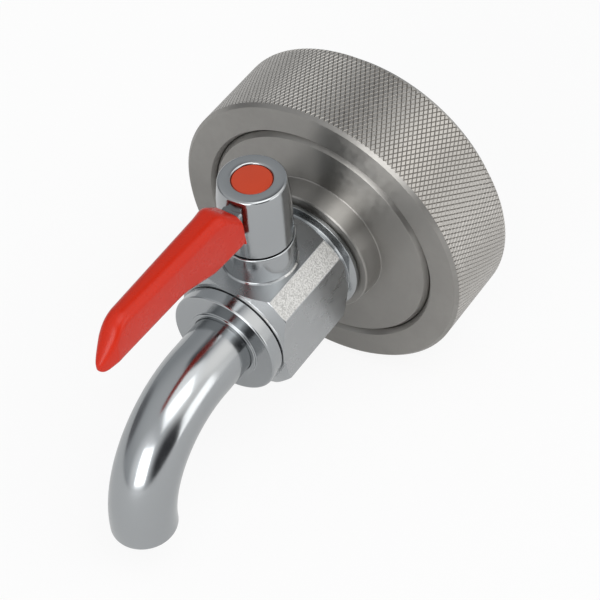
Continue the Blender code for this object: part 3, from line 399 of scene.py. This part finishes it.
PLATED = polished("zinc_plate", (0.62, 0.63, 0.66), 0.22)


# Ring nut

STARTS = 193
COLUMNS = 2 * STARTS
KNURL_ROW = 1.0
KNURL_DEPTH = 0.16
KNURL_TOP = 0.72
FRONT_CHAMFER = 0.8
REAR_CHAMFER = 3.0
KNURL_REAR_X = RING_REAR_X + REAR_CHAMFER
KNURL_FRONT_X = FACE_X - FRONT_CHAMFER
KNURL_ROWS = int((KNURL_FRONT_X - KNURL_REAR_X) / KNURL_ROW)
LIP_BORE = 29.2
GROOVE_WIDTH = 0.8
GROOVE_DEPTH = 1.2
THREAD_CREST = 30.9
THREAD_ROOT = 32.0
THREAD_RELIEF = 32.9


def ring_outline():
    """The turned outline from the front chamfer, through the bore, to the rear chamfer.

    The first point is where the knurl ends. The knurl has its own vertices there, so it is left out.
    """
    profile = [
        (KNURL_FRONT_X, RING_RADIUS - KNURL_DEPTH, 0),
        (FACE_X, RING_RADIUS - FRONT_CHAMFER, 0.12),
        (FACE_X, LIP_BORE + GROOVE_WIDTH, 0.1),
        (FACE_X - GROOVE_DEPTH, LIP_BORE, 0.1),
        (LIP_REAR_X, LIP_BORE, 0.1),
        (LIP_REAR_X, THREAD_RELIEF, 0.3),
        (-1.0, THREAD_RELIEF, 0.2),
        (-1.9, THREAD_ROOT, 0.2),
        (RING_REAR_X + 1.1, THREAD_ROOT, 0.2),
        (RING_REAR_X, THREAD_RELIEF + 0.2, 0.12),
        (RING_REAR_X, RING_RADIUS - REAR_CHAMFER, 0.2),
    ]
    return corner_arcs(profile, 0)[1:]


def ring_vertex(verts, x, radius, column):
    """Adds a vertex at a column of the knurl and returns its number."""
    turn = math.tau * column / COLUMNS
    verts.append((x, radius * math.cos(turn), radius * math.sin(turn)))
    return len(verts) - 1


def knurl_points(verts):
    """The crossings of the cuts by row and column, and the corners of the flat tops between them."""
    cuts, tops = {}, {}
    length = KNURL_FRONT_X - KNURL_REAR_X
    reach = KNURL_TOP * (length / KNURL_ROWS)
    onto_chamfer = {0: -KNURL_DEPTH, KNURL_ROWS: KNURL_DEPTH}
    for row in range(KNURL_ROWS + 1):
        x = KNURL_REAR_X + length * row / KNURL_ROWS
        for column in range(COLUMNS):
            if (row + column) % 2:
                cut_x = x + onto_chamfer.get(row, 0.0)
                cuts[row, column] = ring_vertex(verts, cut_x, RING_RADIUS - KNURL_DEPTH, column)
                continue
            flat = {}
            flat["left"] = ring_vertex(verts, x, RING_RADIUS, column - KNURL_TOP)
            flat["right"] = ring_vertex(verts, x, RING_RADIUS, column + KNURL_TOP)
            if row > 0:
                flat["back"] = ring_vertex(verts, x - reach, RING_RADIUS, column)
            if row < KNURL_ROWS:
                flat["front"] = ring_vertex(verts, x + reach, RING_RADIUS, column)
            tops[row, column] = flat
    return cuts, tops


def knurl_faces(cuts, tops):
    """The flat tops and the slopes round them, with the material of each face: the tops painted lighter as
    a highlight, the slopes painted darker as shade in the grooves.
    """
    faces, looks = [], []
    for (row, column), flat in tops.items():
        faces.append([flat[side] for side in ("left", "back", "right", "front") if side in flat])
        looks.append(KNURL_PAINTED_HIGHLIGHT)
        left, right = cuts[row, (column - 1) % COLUMNS], cuts[row, (column + 1) % COLUMNS]
        for side, next_row in (("back", row - 1), ("front", row + 1)):
            if side in flat:
                end = cuts[next_row, column]
                faces.append([left, end, flat[side], flat["left"]])
                faces.append([end, right, flat["right"], flat[side]])
                looks += [KNURL_CUT_PAINTED_SHADE, KNURL_CUT_PAINTED_SHADE]
    return faces, looks


def edge_faces(cuts, tops, row, ring):
    """Joins the first or last row of the knurl to the turned ring of vertices beside it."""
    faces = []
    for column in range(row % 2, COLUMNS, 2):
        before, after = (column - 1) % COLUMNS, (column + 1) % COLUMNS
        flat = tops[row, column]
        faces.append([cuts[row, before], flat["left"], ring[column], ring[before]])
        faces.append([flat["left"], flat["right"], ring[column]])
        faces.append([flat["right"], cuts[row, after], ring[after], ring[column]])
    return faces


def ring_nut():
    """The nut with its diamond knurl: two families of V cuts leave flat-topped pyramids."""
    verts = []
    cuts, tops = knurl_points(verts)
    faces, looks = knurl_faces(cuts, tops)
    rings = [[ring_vertex(verts, x, r, column) for column in range(COLUMNS)] for x, r in ring_outline()]
    for low, high in zip(rings, rings[1:]):
        for column in range(COLUMNS):
            after = (column + 1) % COLUMNS
            faces.append([low[column], low[after], high[after], high[column]])
    faces += edge_faces(cuts, tops, KNURL_ROWS, rings[0])
    faces += edge_faces(cuts, tops, 0, rings[-1])
    item = new_object("ring_knurled", verts, faces)
    outward(item)
    item.data.shade_smooth()
    item.data.set_sharp_from_angle(angle=math.radians(20))
    # The knurl's tops take the painted highlight and its cut walls the painted shade.
    slots = [STEEL, KNURL_PAINTED_HIGHLIGHT, KNURL_CUT_PAINTED_SHADE]
    for polygon, look in zip(item.data.polygons, looks):
        polygon.material_index = slots.index(look)
    return place(item, "ring", "stainless", slots, "ring_nut")


def neck_thread():
    """The coarse thread inside the nut: one ridge on a helix, fading out at both ends."""
    pitch, first, last = 4.0, -13.2, -2.6
    turns = (last - first) / pitch
    steps = int(96 * turns)
    root = THREAD_ROOT + 0.15
    rings = []
    for step in range(steps + 1):
        share = step / steps
        height = min(1.0, 9 * share, 9 * (1 - share))
        crest = root - (root - THREAD_CREST) * max(height, 0.02)
        x, turn = first + (last - first) * share, math.tau * turns * share
        section = [(-1.25, root), (-0.45, crest), (0.45, crest), (1.25, root)]
        rings.append([(x + along, r * math.cos(turn), r * math.sin(turn)) for along, r in section])
    item = crisp(lofted("neck_thread", rings))
    return place(item, "ring", "stainless", STEEL)


# Disc, body, spout

def flange_disc():
    """The disc in the nut's lip, with its flange behind it, its boss and the pocket of the tail's seal."""
    flange_x, lip_x = DISC_LOW.x + 1.5, LIP_REAR_X - CLEARANCE
    pilot, rim = 21.5, LIP_BORE - CLEARANCE
    pocket_x, pocket = TAIL_SEAL_LOW.x - CLEARANCE, TAIL_SEAL_HIGH.z + CLEARANCE
    bore = TAIL_RADIUS + CLEARANCE
    profile = [
        (flange_x, pilot), (flange_x, DISC_HIGH.z), (lip_x, DISC_HIGH.z), (lip_x, rim),
        (FACE_X - GROOVE_DEPTH, rim), (FACE_X, rim - GROOVE_WIDTH), (FACE_X, DISC_BOSS, 0.25),
        (BOSS_FRONT_X - 0.3, DISC_BOSS - 0.4), (BOSS_FRONT_X, DISC_BOSS - 0.7), (BOSS_FRONT_X, pocket),
        (pocket_x, pocket), (pocket_x, bore), (DISC_LOW.x, bore), (DISC_LOW.x, pilot - 0.3),
        (DISC_LOW.x + 0.3, pilot),
    ]
    item = crisp(turned("disc_turned", profile, 192))
    return place(item, "tap_body", "stainless", STEEL, "flange_disc")


def octagon(half, cut, rounding, steps=5):
    corners = [(half, half - cut), (half - cut, half), (cut - half, half), (-half, half - cut)]
    corners += [(-y, -z) for y, z in corners]
    return corner_arcs([(y, z, rounding) for y, z in corners], rounding, steps)


def body_outside():
    """The forged bar with turned ends, the collar and tail behind it, and the stem's boss with its stop."""
    outline = octagon(BODY_HALF, BODY_CUT, 0.45)
    rear, front = BODY_REAR_X + 2.0, BODY_FRONT_X
    item = lofted("body_forged", [[(x, y, z) for y, z in outline] for x in (rear, front)])
    corner = math.hypot(BODY_HALF, BODY_HALF - BODY_CUT)
    envelope = turned("envelope", [
        (rear - 2, 0, 0), (rear - 2, BODY_TURNED, 0), (rear, BODY_TURNED, 0), (rear + 2.7, corner, 0.4),
        (front - 2.05, corner, 0.5), (front - 0.55, BODY_END, 0.15), (front + 2, BODY_END, 0),
        (front + 2, 0, 0),
    ], 192)
    boolean(item, envelope, "INTERSECT")
    tail = turned("tail", [
        (BODY_LOW.x, 0, 0), (BODY_LOW.x, TAIL_RADIUS - 1.0), (BODY_LOW.x + 1.0, TAIL_RADIUS),
        (BODY_REAR_X, TAIL_RADIUS, 0.05), (BODY_REAR_X, BODY_HIGH.y, 0.12),
        (BODY_REAR_X + 0.9, BODY_HIGH.y, 0.12), (BODY_REAR_X + 1.45, BODY_TURNED, 0.15),
        (rear + 2, BODY_TURNED, 0), (rear + 2, 0, 0),
    ], 192)
    boolean(item, tail, "UNION")
    foot = STEM_BOSS_RADIUS + STEM_BOSS_FILLET
    boss = turned("boss", [
        (SEAT_ROOM, 0, 0), (SEAT_ROOM, foot, 0), (BODY_HALF, foot, 0),
        (BODY_HALF + STEM_BOSS_FILLET, STEM_BOSS_RADIUS, 0.2), (STEM_BOSS_TOP, STEM_BOSS_RADIUS, 0.3),
        (STEM_BOSS_TOP, 0, 0),
    ], 160, AXIS_Z, (VALVE_X, 0, 0))
    boolean(item, boss, "UNION")
    stop = sector("stop", 4.0, 5.9, 18.9, STOP_TOP, STOP_START, STOP_SWEEP, (VALVE_X, 0, 0))
    boolean(item, stop, "UNION")
    return item


def bore_body(item):
    """Cuts the flow bore, the room of the ball and seats, and the stem's bore."""
    past_tail, past_front, past_top = 2, 46, 26
    seat_x = SEAT_LOW.x - CLEARANCE
    thread_x, thread = COLLAR_LOW.x - CLEARANCE, COLLAR_PLUG + CLEARANCE
    cavity = turned("cavity", [
        (past_tail, 0, 0), (past_tail, FLOW_BORE, 0), (seat_x, FLOW_BORE, 0), (seat_x, SEAT_ROOM, 0),
        (thread_x, SEAT_ROOM, 0), (thread_x, thread, 0), (past_front, thread, 0), (past_front, 0, 0),
    ], 96)
    boolean(item, cavity, "DIFFERENCE")
    room, shoulder = STEM_HIGH.y + CLEARANCE, THRUST_HIGH.z + CLEARANCE
    bore = turned("bore", [
        (0, 0, 0), (0, room, 0), (shoulder, room, 0), (shoulder, STEM_BORE, 0), (past_top, STEM_BORE, 0),
        (past_top, 0, 0),
    ], 96, AXIS_Z, (VALVE_X, 0, 0))
    boolean(item, bore, "DIFFERENCE")


def valve_body():
    """The body at a fine step: satin flats, blasted corner faces and chromed turned parts."""
    item = body_outside()
    bore_body(item)
    crisp(item, 25)
    slots = [SATIN, BLASTED, CHROME]
    turned_end_x = BODY_REAR_X + 2.2
    for polygon in item.data.polygons:
        x, y, z = (abs(c) for c in polygon.normal)
        centre = polygon.center / MM
        if y > 0.68 and z > 0.68 and centre.x > turned_end_x:
            polygon.material_index = slots.index(BLASTED)
        elif 0.1 < x < 0.95 or centre.x < turned_end_x:
            polygon.material_index = slots.index(CHROME)
        elif math.hypot(centre.x - VALVE_X, centre.y) < 8.8 and centre.z > 13.6:
            polygon.material_index = slots.index(CHROME)
    return place(item, "tap_body", "satin", slots, "valve_body")


def spout_collar():
    """The collar with its seal's groove, the pipe's socket and the thin lip round the pipe."""
    groove_rear, groove_front = COLLAR_SEAL_LOW.x - CLEARANCE, COLLAR_SEAL_HIGH.x + CLEARANCE
    groove = 9.3
    socket_x, socket = SPOUT_LOW.x - CLEARANCE, SPOUT_RADIUS + CLEARANCE
    lip, lip_bore = SPOUT_RADIUS + 1.1, SPOUT_RADIUS + 0.07
    profile = [
        (COLLAR_LOW.x, FLOW_BORE), (COLLAR_LOW.x, COLLAR_PLUG), (groove_rear, COLLAR_PLUG),
        (groove_rear, groove), (groove_front, groove), (groove_front, COLLAR_PLUG),
        (COLLAR_FACE_X, COLLAR_PLUG), (COLLAR_FACE_X, COLLAR_RADIUS, 0.2),
        (COLLAR_FRONT_X, COLLAR_RADIUS, 0.45), (COLLAR_FRONT_X, lip, 0.2), (COLLAR_HIGH.x, lip, 0.3),
        (COLLAR_HIGH.x, lip_bore, 0.1), (COLLAR_FRONT_X, lip_bore, 0.1), (COLLAR_FRONT_X - 0.3, socket),
        (socket_x, socket), (socket_x, FLOW_BORE),
    ]
    item = crisp(turned("collar_turned", profile, 160))
    return place(item, "tap_body", "chrome", CHROME, "spout_collar")


def spout_wall():
    """The radius, place and turn of every ring of the pipe: outside to the mouth, then the bore back."""
    bend_steps, round_steps = 60, 5
    down = math.pi / 2
    stations = [(SPOUT_LOW.x, 0.0, 0.0), (45.0, 0.0, 0.0), (SPOUT_BEND_X - 4, 0.0, 0.0)]
    for step in range(bend_steps + 1):
        turn = down * step / bend_steps
        stations.append((SPOUT_BEND_X + SPOUT_BEND_RADIUS * math.sin(turn),
                         SPOUT_BEND_RADIUS * (math.cos(turn) - 1), turn))
    mouth_x, mouth_z = SPOUT_BEND_X + SPOUT_BEND_RADIUS, -SPOUT_BEND_RADIUS - SPOUT_DROP
    edge = 0.25
    wall = [(SPOUT_RADIUS, station) for station in stations]
    for step in range(round_steps + 1):
        turn = down * step / round_steps
        z = mouth_z + edge - edge * math.sin(turn)
        wall.append((SPOUT_RADIUS - edge * (1 - math.cos(turn)), (mouth_x, z, down)))
    wall.append((SPOUT_BORE + 0.15, (mouth_x, mouth_z, down)))
    wall.append((SPOUT_BORE, (mouth_x, mouth_z + 0.15, down)))
    return wall + [(SPOUT_BORE, station) for station in reversed(stations)]


def spout_tube():
    """The pipe swept along its path, outside and bore, with its end dressed round."""
    around = 96
    wall = spout_wall()
    verts, faces = [], []
    for radius, (x, z, turn) in wall:
        for k in range(around):
            angle = math.tau * k / around
            out, across = radius * math.cos(angle), radius * math.sin(angle)
            verts.append((x + out * math.sin(turn), across, z + out * math.cos(turn)))
    rings = len(wall)
    for number in range(rings):
        low, high = number * around, (number + 1) % rings * around
        for k in range(around):
            after = (k + 1) % around
            faces.append([low + k, low + after, high + after, high + k])
    item = new_object("spout_bent", verts, faces)
    outward(item)
    crisp(item, 40)
    return place(item, "tap_body", "chrome", CHROME, "spout_tube")


# Lever

def smooth_step(value):
    value = min(max(value, 0.0), 1.0)
    return value * value * (3 - 2 * value)


def grip_outline():
    """The grip from the side: distance from the stem's axis, height, and rounding of each corner."""
    tip = GRIP_ROOT + GRIP_LENGTH
    return corner_arcs([
        (GRIP_ROOT, 27.0, 1.0), (GRIP_BELLY, 25.8, 10.0), (GRIP_THROAT, 29.4, 14.0), (tip, 29.4, 2.1),
        (tip - 9.1, 40.6, 5.0), (GRIP_ROOT + 5.0, 40.0, 3.5), (GRIP_ROOT + 0.5, 35.8, 0.6),
    ], 0, 12)


def span_at(outline, x):
    """The lowest and the highest point of a closed outline at x."""
    heights = []
    for first, second in zip(outline, outline[1:] + outline[:1]):
        if (first.x - x) * (second.x - x) <= 0 and first.x != second.x:
            share = (x - first.x) / (second.x - first.x)
            heights.append(first.y + share * (second.y - first.y))
    return min(heights), max(heights)


def rounded_section(half, bottom, top, radius, steps):
    """A rectangle with round corners, as (y, z) points in order round it."""
    radius = min(radius, 0.95 * half, 0.475 * (top - bottom))
    points = []
    for y, z, start in ((half - radius, top - radius, 0), (radius - half, top - radius, 90),
                        (radius - half, bottom + radius, 180), (half - radius, bottom + radius, 270)):
        for step in range(steps + 1):
            turn = math.radians(start + 90 * step / steps)
            points.append((y + radius * math.cos(turn), z + radius * math.sin(turn)))
    return points


def grip_section(x):
    """The grip across its length at x: wider at the root, and narrowing to nothing at the tip."""
    flare = 1 - smooth_step((x - GRIP_ROOT) / GRIP_FLARE_LENGTH)
    half = GRIP_HALF - GRIP_TAPER * (x - GRIP_ROOT) / GRIP_LENGTH + GRIP_FLARE * flare
    nose = math.sqrt(min(1.0, max(0.0, (GRIP_TIP - x) / GRIP_NOSE)))
    bottom, top = span_at(GRIP_OUTLINE, x)
    return [(VALVE_X + x, y, z) for y, z in rounded_section(half * nose, bottom, top, GRIP_EDGE, 8)]


GRIP_OUTLINE = grip_outline()
GRIP_TIP = max(point.x for point in GRIP_OUTLINE)
GRIP_START = min(point.x for point in GRIP_OUTLINE)


def lever_grip():
    """The grip, with sections closer together at both ends, and the pocket that the bar fills."""
    steps = 110
    rings = []
    for step in range(steps + 1):
        share = 0.5 - 0.5 * math.cos(math.pi * step / steps)
        rings.append(grip_section(GRIP_START + (GRIP_TIP - GRIP_START) * min(max(share, 0.0004), 0.9996)))
    item = lofted("grip_moulded", rings)
    boolean(item, lever_bar("pocket", CLEARANCE), "DIFFERENCE")
    item.data.shade_smooth()
    item.data.set_sharp_from_angle(angle=math.radians(50))
    return place(item, "lever", "red", RED, "lever_grip")


def lever_bar(name, margin):
    """The bar from the hub into the grip, grown on every side by the margin."""
    inset = GRIP_WALL + CLEARANCE
    spans = [(x, NECK_HALF, NECK_BOTTOM, NECK_TOP) for x in (HUB_RADIUS / 2, GRIP_ROOT)]
    for x in (GRIP_BELLY, GRIP_THROAT, BLADE_TIP):
        low, high = span_at(GRIP_OUTLINE, x)
        reach = x + margin if x == BLADE_TIP else x
        spans.append((reach, BLADE_HALF, low + inset, high - inset))
    rings = []
    for x, half, low, high in spans:
        section = rounded_section(half + margin, low - margin, high + margin, BLADE_EDGE, 5)
        rings.append([(VALVE_X + x, y, z) for y, z in section])
    return lofted(name, rings)


def lever_hub():
    """The hub with its bar, screw recess, square socket and the lug that meets the body's stop."""
    pivot = (VALVE_X, 0, 0)
    web_bottom = STOP_TOP + CLEARANCE
    item = turned("hub_cast", [
        (HUB_BOTTOM, HUB_RADIUS, 0.35), (HUB_TOP - 5.0, HUB_RADIUS, 3.0), (HUB_TOP, HUB_RADIUS - 0.6, 0.7),
        (HUB_TOP, RECESS_RADIUS, 0.5), (SCREW_SEAT, RECESS_RADIUS, 0.05), (SCREW_SEAT, SCREW_BORE, 0.05),
        (web_bottom, SCREW_BORE, 0.05), (web_bottom, HUB_INSIDE, 0.05), (HUB_BOTTOM, HUB_INSIDE, 0.1),
    ], 160, AXIS_Z, pivot)
    boolean(item, lever_bar("bar", 0.0), "UNION")
    recess = turned("recess", [
        (SCREW_SEAT, 0, 0), (SCREW_SEAT, RECESS_RADIUS, 0), (33.5, RECESS_RADIUS, 0), (33.5, 0, 0),
    ], 160, AXIS_Z, pivot)
    boolean(item, recess, "DIFFERENCE")
    square = [(1, -1), (1, 1), (-1, 1), (-1, -1)]
    socket = lofted("socket", [
        [(VALVE_X + SOCKET_HALF * x, SOCKET_HALF * y, z) for x, y in square]
        for z in (STOP_TOP, STEM_HIGH.z + CLEARANCE)])
    boolean(item, socket, "DIFFERENCE")
    boolean(item, sector("lug", 4.3, 6.5, HUB_BOTTOM, 23.1, LUG_START, LUG_SWEEP, pivot), "UNION")
    crisp(item, 32)
    return place(item, "lever", "chrome", CAST, "lever_hub")


def indicator_cap():
    """The cap with its short skirt, open below."""
    under, skirt = CAP_HIGH.z - 1.2, CAP_HIGH.y - 0.5
    item = turned("cap_moulded", [
        (under, 0, 0), (under, skirt, 0.05), (CAP_LOW.z, skirt, 0.05), (CAP_LOW.z, CAP_RADIUS, 0.05),
        (CAP_HIGH.z, CAP_RADIUS, 0.2), (CAP_HIGH.z, 0, 0),
    ], 128, AXIS_Z, (VALVE_X, 0, 0))
    crisp(item)
    return place(item, "lever", "orange", ORANGE, "indicator_cap")


def dress_solids():
    """Better materials on the solids that stay."""
    looks = {
        "neck_gasket": RUBBER, "body_seal": PTFE, "seat_rear": PTFE, "seat_front": PTFE, "ball": CHROME,
        "stem": BRASS, "thrust_washer": PTFE, "stem_seal_lower": RUBBER, "stem_seal_upper": RUBBER,
        "lock_washer": PLATED, "hub_screw": PLATED, "collar_seal": RUBBER,
    }
    for name, look in looks.items():
        mesh = NODES[name].data
        mesh.materials.clear()
        mesh.materials.append(look)


# Stage, light, camera

AZIMUTH, ELEVATION, ROLL = 2.21998722, 0.84047394, -0.08555664
EYE = Vector((0.26540, 0.18767, 0.33308))
CAMERA_GLOW = 0.88
MIRROR_GLOW = 0.16
LENS = 120.468
FLOOR_REACH = 3000
FLOOR_Z = -37.4


def camera():
    """Looks at the tap as the photo does, a little turned about its own line of sight."""
    reach, lift = math.cos(ELEVATION), math.sin(ELEVATION)
    back = Vector((math.sin(AZIMUTH) * reach, -math.cos(AZIMUTH) * reach, lift))
    level = Vector((math.cos(AZIMUTH), math.sin(AZIMUTH), 0))
    up = back.cross(level)
    cosine, sine = math.cos(ROLL), math.sin(ROLL)
    across, above = cosine * level + sine * up, cosine * up - sine * level
    data = bpy.data.cameras.new("camera")
    data.lens, data.sensor_width, data.sensor_fit = LENS, 36.0, "HORIZONTAL"
    data.clip_start = 0.01
    item = bpy.data.objects.new("camera", data)
    item.matrix_world = Matrix.Translation(EYE) @ Matrix((across, above, back)).transposed().to_4x4()
    bpy.context.scene.collection.objects.link(item)
    bpy.context.scene.camera = item


def direction(azimuth, elevation):
    """A unit vector from an azimuth about Z and an elevation, both in degrees."""
    turn, lift = math.radians(azimuth), math.radians(elevation)
    return Vector((math.cos(turn) * math.cos(lift), math.sin(turn) * math.cos(lift), math.sin(lift)))


def soft_box(name, azimuth, elevation, width, height, radiance):
    """A rectangular soft box that faces the tap, at a given brightness of its surface."""
    aim, distance = Vector((0.03, 0, 0)), 1.0
    data = bpy.data.lights.new(name, "AREA")
    data.shape, data.size, data.size_y = "RECTANGLE", width, height
    data.energy = radiance * math.pi * width * height
    item = bpy.data.objects.new(name, data)
    away = direction(azimuth, elevation)
    item.location = aim + away * distance
    item.rotation_euler = (-away).to_track_quat("-Z", "Y").to_euler()
    item.visible_camera = False
    bpy.context.scene.collection.objects.link(item)


def floor():
    """A white sheet that glows for the camera, less so in the metal, and still takes the tap's shadow."""
    corners = [(-FLOOR_REACH, -FLOOR_REACH, 0), (FLOOR_REACH, -FLOOR_REACH, 0),
               (FLOOR_REACH, FLOOR_REACH, 0), (-FLOOR_REACH, FLOOR_REACH, 0)]
    item = new_object("floor", corners, [[0, 1, 2, 3]])
    item.location.z = FLOOR_Z * MM
    look, tree, shader = material("floor_white", (0.74, 0.74, 0.74), 0.9, 0.0)
    glow = tree.nodes.new("ShaderNodeEmission")
    glow.inputs["Strength"].default_value = 1.0
    path = tree.nodes.new("ShaderNodeLightPath")
    share = None
    for ray, glow_share in (("Is Camera Ray", CAMERA_GLOW), ("Is Glossy Ray", MIRROR_GLOW)):
        part = tree.nodes.new("ShaderNodeMath")
        part.operation = "MULTIPLY_ADD"
        part.use_clamp = True
        part.inputs[1].default_value = glow_share
        part.inputs[2].default_value = 0.0
        tree.links.new(path.outputs[ray], part.inputs[0])
        if share is not None:
            tree.links.new(share, part.inputs[2])
        share = part.outputs[0]
    mix = tree.nodes.new("ShaderNodeMixShader")
    tree.links.new(share, mix.inputs["Fac"])
    tree.links.new(shader.outputs[0], mix.inputs[1])
    tree.links.new(glow.outputs[0], mix.inputs[2])
    tree.links.new(mix.outputs[0], tree.nodes["Material Output"].inputs["Surface"])
    item.data.materials.append(look)


def room_patch(tree, start, azimuth, elevation, reach, blend, colour):
    """Blends a round patch of another brightness into the room, centred on a direction."""
    coordinates = tree.nodes.new("ShaderNodeTexCoord")
    dot = tree.nodes.new("ShaderNodeVectorMath")
    dot.operation = "DOT_PRODUCT"
    dot.inputs[1].default_value = direction(azimuth, elevation)
    spread = tree.nodes.new("ShaderNodeMapRange")
    spread.interpolation_type = "SMOOTHSTEP"
    spread.inputs["From Min"].default_value = math.cos(math.radians(reach + blend))
    spread.inputs["From Max"].default_value = math.cos(math.radians(max(reach - blend, 0)))
    mix = tree.nodes.new("ShaderNodeMixRGB")
    mix.inputs["Color2"].default_value = (*colour, 1)
    tree.links.new(coordinates.outputs["Generated"], dot.inputs[0])
    tree.links.new(dot.outputs["Value"], spread.inputs["Value"])
    tree.links.new(spread.outputs["Result"], mix.inputs["Fac"])
    if start is None:
        mix.inputs["Color1"].default_value = (*ROOM, 1)
    else:
        tree.links.new(start, mix.inputs["Color1"])
    return mix.outputs["Color"]


def world():
    """A grey room round the sheet, with brighter and darker places that the metal mirrors."""
    made = bpy.data.worlds.new("world")
    bpy.context.scene.world = made
    made.use_nodes = True
    tree = made.node_tree
    back = tree.nodes["Background"]
    colour = None
    for patch in ROOM_PATCHES:
        colour = room_patch(tree, colour, *patch)
    tree.links.new(colour, back.inputs["Color"])


ROOM = (0.46, 0.475, 0.49)

# Each patch has its azimuth, elevation, reach and blend in degrees, and its colour
ROOM_PATCHES = [
    (20, 62, 60, 30, (0.74, 0.75, 0.76)),
    (105, 26, 32, 15, (1.20, 1.19, 1.17)),
    (90, 66, 26, 9, (1.65, 1.65, 1.64)),
    (133, 37, 14, 9, (1.55, 1.52, 1.48)),
    (63, 10, 22, 8, (0.05, 0.05, 0.055)),
    (-170, 63, 14, 6, (0.10, 0.10, 0.11)),
    (-78, 8, 15, 9, (0.22, 0.22, 0.23)),
    (4, 20, 20, 15, (1.30, 1.31, 1.32)),
]


def lights():
    """Soft boxes, each with its azimuth and elevation, its width and height in metres, and its radiance."""
    soft_box("front", 12, 18, 0.50, 0.52, 3.5)
    soft_box("side", 98, 9, 0.55, 0.45, 1.5)
    soft_box("key", 65, 58, 0.75, 0.50, 1.5)


camera()
world()
lights()
floor()
ring_nut()
neck_thread()
flange_disc()
valve_body()
spout_collar()
spout_tube()
lever_hub()
lever_grip()
indicator_cap()
dress_solids()
bpy.context.scene.view_settings.view_transform = "Standard"
